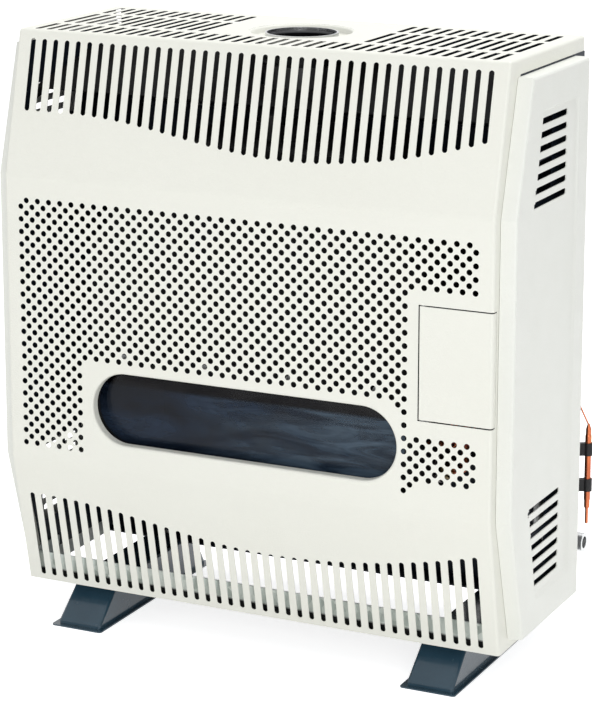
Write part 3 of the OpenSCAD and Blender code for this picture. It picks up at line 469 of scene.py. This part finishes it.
# %% Dress the frame
FINISH_OF_SLOT = {
    "casing_ivory": casing_paint, "side_ivory": shaded_side_paint, "chassis_dark": chassis_paint,
    "galvanised": galvanised, "foot_blue_grey": foot_paint, "zinc_fixings": zinc,
    "stove_black": stove_black, "bright_steel": bright_steel, "burner_steel": burner_steel,
    "window_glass": window_glass, "gasket": gasket_tape, "brass": brass, "copper": copper,
    "ceramic": ceramic, "lead_red": lead_rubber, "valve_alloy": valve_alloy,
    "plate_dark": plate_paint, "black_plastic": black_plastic, "button_red": button_red,
    "catch_white": catch_white,
}
for part in frame["record"]["subparts"]:
    for holder in frame["nodes"][part["node"]].material_slots:
        holder.material = FINISH_OF_SLOT[part["material_slot"]]

# %% [markdown]
# ## The casing's skin
# The real casing is one pressed sheet: three facets at the front, a flat
# top and two side returns. We extrude its side outline across the width,
# drop the faces that the sheet doesn't have, and bevel every fold at
# once, so that the corners where three folds meet come out rounded too.

# %% Fold the skin
SHEET = 0.6
CASING_FOLD = 3.4
CASING_HALF = 286
SKIRT_LOW, FRONT_LOW, FRONT_HIGH, TOP_FRONT = (32, 45), (0, 199), (0, 516), (37, 670)
SIDE_OUTLINE = [SKIRT_LOW, FRONT_LOW, FRONT_HIGH, TOP_FRONT, (248, 670), (248, 654),
                (62, 654), (20, 516), (20, 199), (60, 62), (232, 62), (232, 45)]


def new_verts(grown):
    return [v for v in grown["geom"] if isinstance(v, bmesh.types.BMVert)]


def extruded_outline(outline, x0, x1):
    bm = bmesh.new()
    face = bm.faces.new([bm.verts.new((x0, y, z)) for y, z in outline])
    grown = bmesh.ops.extrude_face_region(bm, geom=[face])
    bmesh.ops.translate(bm, vec=(x1 - x0, 0, 0), verts=new_verts(grown))
    bmesh.ops.recalc_face_normals(bm, faces=bm.faces)
    return bm


def is_skin(face):
    front_or_end = face.normal.y < -0.9 or abs(face.normal.x) > 0.9
    return front_or_end or face.calc_center_median().z > 665


def round_folds(bm, folds, radius, segments=4, clamp=False):
    bmesh.ops.bevel(bm, geom=folds, offset=radius, offset_type="OFFSET", segments=segments,
                    profile=0.5, affect="EDGES", material=-1, clamp_overlap=clamp)


def give_sheet(obj, thickness, offset):
    wall = obj.modifiers.new("sheet", "SOLIDIFY")
    wall.thickness, wall.offset, wall.use_even_offset = thickness / 1000, offset, True
    keep_result(obj)


skin = extruded_outline(SIDE_OUTLINE, -CASING_HALF, CASING_HALF)
loose = [f for f in skin.faces if not is_skin(f)]
bmesh.ops.delete(skin, geom=loose, context="FACES")
folds = [e for e in skin.edges if not e.is_boundary]
round_folds(skin, folds, CASING_FOLD, clamp=True)
casing = make_object("casing_shell", skin, shell_paint)
give_sheet(casing, SHEET, -1)
print("folds bevelled:", len(folds), "- skin faces:", len(casing.data.polygons))

# %% [markdown]
# ## Punches
# A press punches the holes and slots through the flat sheet. One punch is
# a circle whose halves are pulled apart and extruded, so the same helper
# gives round holes, slots and the window. A matrix carries each punch on
# to its facet. All punches together are one cutter.

# %% A punch on a facet


def on_facet(a, b):
    lean = math.atan2(b[1] - a[1], b[0] - a[0])
    return Matrix.Translation((0, a[0], a[1])) @ Matrix.Rotation(lean, 4, "X")


def flat_sided_circle(bm, r, segments, capped):
    half_side = math.pi / segments
    verts = bmesh.ops.create_circle(bm, cap_ends=capped, segments=segments,
                                    radius=r / math.cos(half_side))["verts"]
    bmesh.ops.rotate(bm, verts=verts, matrix=Matrix.Rotation(half_side, 3, "Z"))
    return verts


def punch(bm, place, x, y0, y1, width, segments=12, low=-4, high=3):
    r = width / 2
    verts = flat_sided_circle(bm, r, segments, True)
    for v in verts:
        v.co = (v.co.x + x, v.co.y + (y1 - r if v.co.y > 0 else y0 + r), low)
    tops = new_verts(bmesh.ops.extrude_face_region(bm, geom=[verts[0].link_faces[0]]))
    bmesh.ops.translate(bm, vec=(0, 0, high - low), verts=tops)
    bmesh.ops.transform(bm, matrix=place, verts=verts + tops)


MID = on_facet(FRONT_LOW, FRONT_HIGH)
UPPER = on_facet(FRONT_HIGH, TOP_FRONT)
LOWER = on_facet(SKIRT_LOW, FRONT_LOW)
TOP = Matrix.Translation((0, *TOP_FRONT))
UPPER_L = math.dist(FRONT_HIGH, TOP_FRONT)
LOWER_L = math.dist(SKIRT_LOW, FRONT_LOW)
print("facet lengths", round(UPPER_L, 1), round(LOWER_L, 1))

# %% [markdown]
# ## The pattern of slots and holes
# The front slots end on a wave: a cosine swell up to its turn on the left
# and a soft fall on the right. The upper wave rises to its turn, and the
# lower one sinks to it. The round holes lie on a staggered lattice of 7 mm.
# They fill a full band, a wide band and two narrow blocks beside the
# window, and a few single ones follow the curve of the window's end.

# %% Slot waves and hole lattice


def slot_end(n, start, turn, base, left, right):
    if n <= turn:
        return base + left * (1 + math.cos(math.pi * (max(n, start) - start) / (turn - start))) / 2
    return base + right * ((n - turn) / (SLOTS - turn)) ** 1.9


SLOTS = 39
UPPER_WAVE = {"start": 4.5, "turn": 24, "base": 109, "left": -30.5, "right": -35.5}
LOWER_WAVE = {"start": 2, "turn": 22, "base": 80, "left": 31, "right": 35.4}
STRAYS = [(64, 25), (65, 26), (65, 28), (66, 37), (65, 38)]


def punched(i, j):
    if (i + j) % 2 == 0:
        return False
    band = j < 8 or (j < 25 and i < 66)
    return band or i < 11 or (30 <= j <= 36 and i >= 65) or (i, j) in STRAYS


holes = [(i, j) for j in range(40) for i in range(77) if punched(i, j)]
print(len(holes), "round holes")

# %% Fill the die
HOLE = 6.2
HOLE_PITCH = 7
FIRST_ROW = FRONT_HIGH[1] - 27.7
SLOT = 5.7
SLOT_PITCH = 14
TOP_SLOT = 6.8
TOP_ROWS = ((4.5, 52), (64, 138), (149, 195))
FLUE_Y = 150
die = bmesh.new()
for i, j in holes:
    x, y = (i - 38) * HOLE_PITCH, FIRST_ROW - HOLE_PITCH * j - FRONT_LOW[1]
    punch(die, MID, x, y - HOLE / 2, y + HOLE / 2, HOLE)
for n in range(1, SLOTS + 1):
    x = (n - 20) * SLOT_PITCH
    punch(die, UPPER, x, UPPER_L - 10 - slot_end(n, **UPPER_WAVE), UPPER_L - 10, SLOT)
    punch(die, LOWER, x, 6.5, slot_end(n, **LOWER_WAVE), SLOT)
    beside_flue = n <= 13 or n > 26
    for y0, y1 in TOP_ROWS if beside_flue else TOP_ROWS[:1]:
        punch(die, TOP, x, y0, y1, TOP_SLOT)
DISH_R = 57
flue = FLUE_Y - TOP_FRONT[0]
punch(die, TOP, 0, flue - DISH_R, flue + DISH_R, 2 * DISH_R, 64)
print("punches:", len(die.verts))

# %% [markdown]
# ## Window and door openings
# The window is a lying stadium, so its punch is turned by a quarter. The
# door takes a bite out of the front and of the side return, and a plain
# box cuts both. It is larger than the door by the gap that one sees. Then
# one press takes the whole die through the sheet.

# %% Cut the openings
RIM = 2.6
QUARTER = math.pi / 2
WINDOW_Z = 266.5
WINDOW_END = 180
WINDOW_R = 40
WINDOW_SIDES = 64
window_place = Matrix.Translation((0, 0, WINDOW_Z)) @ Matrix.Rotation(QUARTER, 4, "X")
window_place = window_place @ Matrix.Rotation(QUARTER, 4, "Z")
punch(die, window_place, 0, -WINDOW_END - RIM, WINDOW_END + RIM, 2 * (WINDOW_R + RIM), WINDOW_SIDES)


def block(bm, low, high):
    verts = bmesh.ops.create_cube(bm, size=1)["verts"]
    size = Vector(high) - Vector(low)
    bmesh.ops.scale(bm, vec=size, verts=verts)
    bmesh.ops.translate(bm, vec=Vector(low) + size / 2, verts=verts)


block(die, (204.1, -5, 298.7), (290, 9.2, 421.3))
for side in (-CASING_HALF, CASING_HALF):
    turn = Matrix.Translation((side, 218, 53)) @ Matrix.Rotation(QUARTER, 4, "Y")
    bmesh.ops.create_cone(die, cap_ends=True, segments=16, radius1=2.2, radius2=2.2, depth=8, matrix=turn)


def press_through(obj, die, angle):
    bmesh.ops.recalc_face_normals(die, faces=die.faces)
    die_object = make_object("die", die, None)
    cut = obj.modifiers.new("punch", "BOOLEAN")
    cut.object, cut.operation, cut.solver = die_object, "DIFFERENCE", "MANIFOLD"
    keep_result(obj)
    bpy.data.objects.remove(die_object)
    shade_pressed(obj, angle)


press_through(casing, die, 32)
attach(casing, "casing")
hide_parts("front_casing", "casing_hood", "casing_apron", "casing_top",
            "left_casing_side", "right_casing_side")

# %% [markdown]
# ## The window's rolled rim
# Round the window the sheet rolls inwards and stands back towards the
# glass. Stadium loops at growing depth, each bridged to the next, follow
# that roll. The last loop is bridged to the first, which closes the wall.

# %% Roll the rim


def stadium_loop(bm, y, grow):
    verts = flat_sided_circle(bm, WINDOW_R + grow, WINDOW_SIDES, False)
    for v in verts:
        v.co = (v.co.x + math.copysign(WINDOW_END - WINDOW_R, v.co.x), y, v.co.y + WINDOW_Z)
    return list({e for v in verts for e in v.link_edges})


rim = bmesh.new()
ROLL = [(0.0, RIM + 0.25), (0.16, RIM - 0.8), (0.75, RIM - 1.8), (1.7, 0.3), (2.9, 0.0), (10.0, 0.0),
        (10.0, SHEET), (3.1, SHEET), (2.1, SHEET + 0.5), (1.3, RIM - 0.4), (1.2, RIM + 0.25)]
loops = [stadium_loop(rim, y, grow) for y, grow in ROLL]
for first, second in zip(loops, loops[1:] + loops[:1]):
    bmesh.ops.bridge_loops(rim, edges=first + second)
bmesh.ops.recalc_face_normals(rim, faces=rim.faces)
window_rim = make_object("window_rolled_rim", rim, casing_paint)
shade_pressed(window_rim, 50)
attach(window_rim, "casing")
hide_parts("window_rim")

# %% [markdown]
# ## The dish round the flue
# The flue stands in a shallow round dish, drawn down from the top. Its
# section is a closed strip, and one full spin about the flue makes it.

# %% Spin the dish


def spun(points, centre, axis, steps=72):
    bm = bmesh.new()
    verts = [bm.verts.new(p) for p in points]
    edges = [bm.edges.new(pair) for pair in zip(verts, verts[1:])]
    bmesh.ops.spin(bm, geom=verts + edges, cent=centre, axis=axis, dvec=(0, 0, 0),
                   angle=math.tau, steps=steps, use_merge=True)
    bmesh.ops.remove_doubles(bm, verts=bm.verts, dist=0.001)
    bmesh.ops.recalc_face_normals(bm, faces=bm.faces)
    return bm


DISH = [(57.6, 670), (56.0, 669.75), (54.8, 668.9), (54.2, 667.6), (53.4, 664.2), (52.5, 662.9),
        (51.0, 662.2), (42.3, 662.2), (42.3, 661), (51.4, 661), (53.4, 662.1), (54.6, 663.9),
        (55.4, 667.4), (56.2, 668.5), (57.6, 668.8), (57.6, 670)]
dish_bm = spun([(r, FLUE_Y, z) for r, z in DISH], (0, FLUE_Y, 0), (0, 0, 1))
dish = make_object("flue_dish", dish_bm, casing_paint)
shade_pressed(dish, 50)
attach(dish, "casing")

# %% [markdown]
# ## The rail behind the top
# A folded dark rail stands on the rear tray and closes the gap up to the
# casing top. It is a dark sheet put there as painted shade, so the top
# slots look into the dark. We draw its open section, pull it along the
# width, bevel the fold and give the strip its thickness.

# %% Fold the rear rail


def folded_strip(section, x0, x1):
    bm = bmesh.new()
    verts = [bm.verts.new((x0, y, z)) for y, z in section]
    edges = [bm.edges.new(pair) for pair in zip(verts, verts[1:])]
    grown = bmesh.ops.extrude_edge_only(bm, edges=edges)
    bmesh.ops.translate(bm, vec=(x1 - x0, 0, 0), verts=new_verts(grown))
    round_folds(bm, [e for e in bm.edges if not e.is_boundary], 2)
    bmesh.ops.recalc_face_normals(bm, faces=bm.faces)
    return bm


RAIL_SECTION = [(262, 640.4), (250.6, 640.4), (250.6, 667.5)]
# A dark sheet behind the top slots, standing in for the shade there: painted shade.
rail = make_object("rear_shade_rail", folded_strip(RAIL_SECTION, -280, 280), chassis_paint)
give_sheet(rail, 1.2, 0)
shade_pressed(rail)
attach(rail, "casing")
print("rail faces", len(rail.data.polygons))

# %% [markdown]
# ## The louvres of the side panels
# The panels keep the form of their solids. Each copy is merged into one
# mesh, and a punch with round ends opens every louvre to the width that
# the photograph shows. The rows end on a slant, so each has its own start.

# %% Open the louvres
LOUVRE = 6.8
LOUVRE_PITCH = 14
LOUVRE_END = 161.5
UPPER_STARTS = (86.5, 83, 79, 75.5, 72, 66, 62.5)
LOWER_STARTS = (62.5, 68.5, 72, 76, 81.5, 85, 88.5)


def louvred_panel(name, node, side):
    bm = bmesh.new()
    bm.from_mesh(frame["nodes"][node].data)
    bmesh.ops.transform(bm, matrix=TO_METRES.inverted(), verts=bm.verts)
    bmesh.ops.remove_doubles(bm, verts=bm.verts, dist=0.001)
    panel = make_object(name, bm, shaded_side_paint)
    die = bmesh.new()
    wall = Matrix.Translation((side * 299, 0, 0)) @ Matrix.Rotation(-QUARTER, 4, "Y")
    for first_row, starts in ((603, UPPER_STARTS), (192.5, LOWER_STARTS)):
        for row, start in enumerate(starts):
            punch(die, wall, first_row - LOUVRE_PITCH * row, start, LOUVRE_END, LOUVRE, low=-7, high=7)
    press_through(panel, die, 9)
    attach(panel, "casing")
    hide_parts(node)


louvred_panel("left_louvred_panel", "left_side_panel", -1)
louvred_panel("right_louvred_panel", "right_side_panel", 1)

# %% [markdown]
# ## The control door
# The door is a small piece of the same casing: a flat front, one rolled
# edge that wraps on to the side, and a curled knuckle round its hinge pin.
# The panel starts as a box with two faces taken away, so its roll matches
# the casing's roll exactly. The knuckle is a tube spun round the pin.

# %% Door panel and knuckle
door_bm = bmesh.new()
block(door_bm, (205.3, 0, 300), (286, 8, 420))
bmesh.ops.recalc_face_normals(door_bm, faces=door_bm.faces)
loose = [f for f in door_bm.faces if f.normal.y > -0.9 and f.normal.x < 0.9]
bmesh.ops.delete(door_bm, geom=loose, context="FACES")
round_folds(door_bm, [e for e in door_bm.edges if not e.is_boundary], CASING_FOLD)
door = make_object("control_door_skin", door_bm, casing_paint)
give_sheet(door, SHEET, -1)
soft = door.modifiers.new("deburred", "BEVEL")
soft.width, soft.segments, soft.limit_method, soft.angle_limit = 0.0003, 2, "ANGLE", math.radians(60)
shade_pressed(door)
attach(door, "door")
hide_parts("control_door")
PIN_X, PIN_Y = 208.3, 3
KNUCKLE = [(1.3, 300), (2.95, 300), (2.95, 420), (1.3, 420), (1.3, 300)]
knuckle_bm = spun([(PIN_X + r, PIN_Y, z) for r, z in KNUCKLE], (PIN_X, PIN_Y, 0), (0, 0, 1), 32)
knuckle = make_object("door_knuckle", knuckle_bm, casing_paint)
shade_pressed(knuckle, 50)
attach(knuckle, "door")

# %% [markdown]
# ## Feet
# Each foot is a pressed channel: a sloped nose, tapering sides and a
# flange that flares out on the floor. We bevel the channel's folds first,
# then pull its open lower edge outwards, so that the flange follows the
# rounded corners. Its lower edge is lifted a little, because Solidify then
# gives the whole foot one thickness, and the flange must not pass the floor.

# %% Press a foot
FOOT_SIDE = [(18, 0), (18, 5), (64, 45.7), (247, 45.7), (270, 5), (270, 0)]
FOOT_HALF = 25.5
FOOT_MIDDLE = 144
FOOT_TAPER = 1.2
FLANGE = ((0.9, 1.2), (4.2, 6.3))
FOOT_SHEET = 1.5
FLANGE_LIFT = 1.82


def pressed_foot(name, centre, node):
    bm = extruded_outline(FOOT_SIDE, centre - FOOT_HALF, centre + FOOT_HALF)
    floor = [f for f in bm.faces if f.normal.z < -0.9]
    bmesh.ops.delete(bm, geom=floor, context="FACES")
    for v in bm.verts:
        if v.co.z < 6:
            v.co.x += math.copysign(FOOT_TAPER, v.co.x - centre)
    round_folds(bm, [e for e in bm.edges if not e.is_boundary], 3.6)
    edge = [e for e in bm.edges if e.is_boundary]
    for dx, dy in FLANGE:
        grown = bmesh.ops.extrude_edge_only(bm, edges=edge)
        for v in new_verts(grown):
            v.co.x += math.copysign(dx, v.co.x - centre)
            v.co.y += math.copysign(dy, v.co.y - FOOT_MIDDLE)
        edge = [g for g in grown["geom"] if isinstance(g, bmesh.types.BMEdge)]
    bmesh.ops.translate(bm, vec=(0, 0, FLANGE_LIFT), verts=[v for v in bm.verts if v.co.z < 4])
    bmesh.ops.recalc_face_normals(bm, faces=bm.faces)
    level = [f for f in bm.faces if abs(f.normal.z) > 0.9 and f.calc_center_median().z > 40]
    if level[0].normal.z < 0:
        bmesh.ops.reverse_faces(bm, faces=bm.faces)
    foot = make_object(name, bm, foot_paint)
    wall = foot.modifiers.new("sheet", "SOLIDIFY")
    wall.thickness, wall.offset = FOOT_SHEET / 1000, -1
    wall.use_even_offset, wall.use_quality_normals = False, True
    keep_result(foot)
    shade_pressed(foot, 40)
    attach(foot, "casing")
    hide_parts(node)


pressed_foot("left_pressed_foot", -213.5, "left_foot")
pressed_foot("right_pressed_foot", 213.5, "right_foot")

# %% [markdown]
# ## The control knob
# The knob has a fluted skirt to grip and a raised bar to point with, and
# numbers for its seven settings. Its body is spun from a section. The
# flutes are made by drawing two in every four rows of skirt vertices
# inwards, which is quicker than a cut and keeps the mesh clean.

# %% Spin and flute the knob
KNOB = Vector((244, 11, 376))
SECTION = [(0, 0), (12.6, 0), (13.8, 0.35), (14.5, 1.1), (16.2, 9.2), (16.6, 10.0), (18.9, 10.1),
           (19.6, 10.5), (19.95, 11.3), (19.95, 17.2), (19.4, 17.9), (17.8, 18), (17.8, 12),
           (4.1, 12), (4.1, 6), (0, 6)]
knob_bm = spun([(KNOB.x + r, KNOB.y + y, KNOB.z) for r, y in SECTION], (KNOB.x, 0, KNOB.z), (0, 1, 0))
SKIRT_R = 18.5
FLUTE_DEPTH = 1.1
for v in knob_bm.verts:
    out = Vector((v.co.x - KNOB.x, 0, v.co.z - KNOB.z))
    step = round(math.degrees(math.atan2(out.z, out.x)) / 5)
    if out.length > SKIRT_R and step % 4 in (0, 1):
        v.co -= out.normalized() * FLUTE_DEPTH
knob = make_object("fluted_knob", knob_bm, black_plastic)
knob.data.shade_smooth()
knob.data.set_sharp_from_angle(angle=math.radians(40))
bar_bm = bmesh.new()
block(bar_bm, (KNOB.x - 2.8, 9.6, KNOB.z - 16), (KNOB.x + 2.8, 12.5, KNOB.z + 16))
round_folds(bar_bm, list(bar_bm.edges), 0.9, 3)
bar = make_object("knob_bar", bar_bm, black_plastic)
shade_pressed(bar)
for item in (knob, bar):
    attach(item, "knob")
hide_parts("control_knob")

# %% [markdown]
# ## Numbers on the knob
# A dial carries plain white numbers, 0 for off and 1 to 7 for the heat.
# Each is a text object turned into a mesh, laid on the skirt's front
# shoulder and turned round the spindle.
# A mark at the top of the bar shows which number is chosen.

# %% Dial numbers
print_white = grained("white_dial_print", (0.78, 0.78, 0.76), (0.72, 0.72, 0.7), 0.5, 1200, 0.00002)


def dial_number(text, angle):
    curve = bpy.data.curves.new("dial_" + text, "FONT")
    curve.body, curve.size, curve.extrude = text, 3.0, 0.06
    curve.align_x, curve.align_y, curve.resolution_u = "CENTER", "CENTER", 3
    source = bpy.data.objects.new("dial_source", curve)
    bpy.context.scene.collection.objects.link(source)
    graph = bpy.context.evaluated_depsgraph_get()
    mesh = bpy.data.meshes.new_from_object(source.evaluated_get(graph))
    bpy.data.objects.remove(source)
    bm = bmesh.new()
    bm.from_mesh(mesh)
    bpy.data.meshes.remove(mesh)
    turn = Matrix.Translation((KNOB.x, 20.97, KNOB.z)) @ Matrix.Rotation(math.radians(angle), 4, "Y")
    turn = turn @ Matrix.Translation((0, 0, 17.75)) @ Matrix.Rotation(QUARTER, 4, "X")
    turn = turn @ Matrix.Scale(0.62, 4)
    bmesh.ops.transform(bm, matrix=turn, verts=bm.verts)
    number = make_object("dial_number_" + text, bm, print_white)
    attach(number, "knob")


DIAL_STEP = 38
for count in range(8):
    dial_number(str(count), count * DIAL_STEP)
mark_bm = bmesh.new()
block(mark_bm, (KNOB.x - 0.5, 9.45, 384), (KNOB.x + 0.5, 9.7, 391))
round_folds(mark_bm, list(mark_bm.edges), 0.08, 1)
mark = make_object("knob_mark", mark_bm, print_white)
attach(mark, "knob")

# %% [markdown]
# ## The igniter button
# A push button with a domed face. A spin of its half section is all it
# needs, with a few points on the dome so that a highlight rolls over it.

# %% Spin the button
BUTTON = [(0, 22.05), (2.5, 22.12), (4.6, 22.4), (6.2, 22.95), (7.2, 23.7), (7.8, 24.7),
          (7.95, 25.8), (7.95, 43), (0, 43)]
BUTTON_X, BUTTON_Z = 244, 326
button_bm = spun([(BUTTON_X + r, y, BUTTON_Z) for r, y in BUTTON], (BUTTON_X, 0, BUTTON_Z), (0, 1, 0), 48)
button = make_object("igniter_cap", button_bm, button_red)
button.data.shade_smooth()
button.data.set_sharp_from_angle(angle=math.radians(50))
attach(button, "igniter")
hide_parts("igniter_button")
print("button faces", len(button.data.polygons))

# %% [markdown]
# ## Floor and light
# The picture has a plain white ground. The floor is pale and matt. For
# rays that the camera sees, straight or by way of metal and glass, it adds
# a little of its own white, so it joins the backdrop and still keeps the
# shadow. Wide soft lamps in front and above shape the bends, and the world
# fills the rest evenly.

# %% Pale floor


def seen_by_camera(tree):
    path = tree.nodes.new("ShaderNodeLightPath")
    direct = calculate(tree, "MAXIMUM", path.outputs["Is Camera Ray"], path.outputs["Is Glossy Ray"])
    return calculate(tree, "MAXIMUM", direct, path.outputs["Is Transmission Ray"])


floor_bm = bmesh.new()
bmesh.ops.create_grid(floor_bm, x_segments=8, y_segments=8, size=6000)
floor_finish, tree, shader, place = new_finish("pale_floor", (0.86, 0.86, 0.86), 0.9)
tree.links.new(spread(tree, noise(tree, place, 3, 2), 0.85, 0.95), shader.inputs["Roughness"])
glow = tree.nodes.new("ShaderNodeEmission")
glow.inputs["Strength"].default_value = 0.78
total = tree.nodes.new("ShaderNodeAddShader")
mix = tree.nodes.new("ShaderNodeMixShader")
tree.links.new(shader.outputs["BSDF"], total.inputs[0])
tree.links.new(glow.outputs["Emission"], total.inputs[1])
tree.links.new(seen_by_camera(tree), mix.inputs["Fac"])
tree.links.new(shader.outputs["BSDF"], mix.inputs[1])
tree.links.new(total.outputs["Shader"], mix.inputs[2])
tree.links.new(mix.outputs["Shader"], tree.nodes["Material Output"].inputs["Surface"])
floor = make_object("studio_floor", floor_bm, floor_finish)
print("floor", [round(v, 2) for v in floor.dimensions])

# %% World and lamps
scene = bpy.context.scene
world = bpy.data.worlds.new("studio")
scene.world = world
world.use_nodes = True
sky = world.node_tree
dim = sky.nodes["Background"]
dim.inputs["Color"].default_value = (0.97, 0.985, 1.0, 1)
dim.inputs["Strength"].default_value = 0.56
white = sky.nodes.new("ShaderNodeBackground")
white.inputs["Color"].default_value = (1, 1, 1, 1)
white.inputs["Strength"].default_value = 1.0
pick = sky.nodes.new("ShaderNodeMixShader")
sky.links.new(seen_by_camera(sky), pick.inputs["Fac"])
sky.links.new(dim.outputs["Background"], pick.inputs[1])
sky.links.new(white.outputs["Background"], pick.inputs[2])
sky.links.new(pick.outputs["Shader"], sky.nodes["World Output"].inputs["Surface"])


def soft_lamp(name, spot, aim, size, power):
    lamp = bpy.data.lights.new(name, "AREA")
    lamp.shape, lamp.size, lamp.energy = "DISK", size, power
    obj = bpy.data.objects.new(name, lamp)
    obj.location = spot
    obj.rotation_mode = "QUATERNION"
    obj.rotation_quaternion = (Vector(aim) - Vector(spot)).to_track_quat("-Z", "Y")
    scene.collection.objects.link(obj)


soft_lamp("front_softbox", (1.65, -2.9, 0.95), (0, 0, 0.3), 2.2, 37)
soft_lamp("left_softbox", (-2.2, -2.4, 1.1), (0, 0, 0.3), 1.6, 8)
soft_lamp("top_softbox", (0.2, 0.9, 3.0), (0, 0, 0.4), 1.8, 42)

# %% [markdown]
# ## Camera
# The picture was taken from the front right, above the heater's middle,
# with a long lens. A fit to the lattice of holes gave the turn, the tilt
# and the distance, and a small upright shift of the frame.

# %% Camera
turn, tilt, distance = math.radians(25.91), math.radians(13.01), 2.8943
look = Vector((-math.sin(turn) * math.cos(tilt), math.cos(turn) * math.cos(tilt), -math.sin(tilt)))
lens = bpy.data.cameras.new("camera")
lens.lens, lens.sensor_width, lens.shift_y = 131.9, 36, -0.12
camera = bpy.data.objects.new("camera", lens)
camera.location = Vector((-0.0041, 0, 0.4028)) - look * distance
camera.rotation_mode = "QUATERNION"
camera.rotation_quaternion = look.to_track_quat("-Z", "Y")
scene.collection.objects.link(camera)
scene.camera = camera
scene.view_settings.view_transform = "Standard"
print("camera at", [round(v, 3) for v in camera.location])
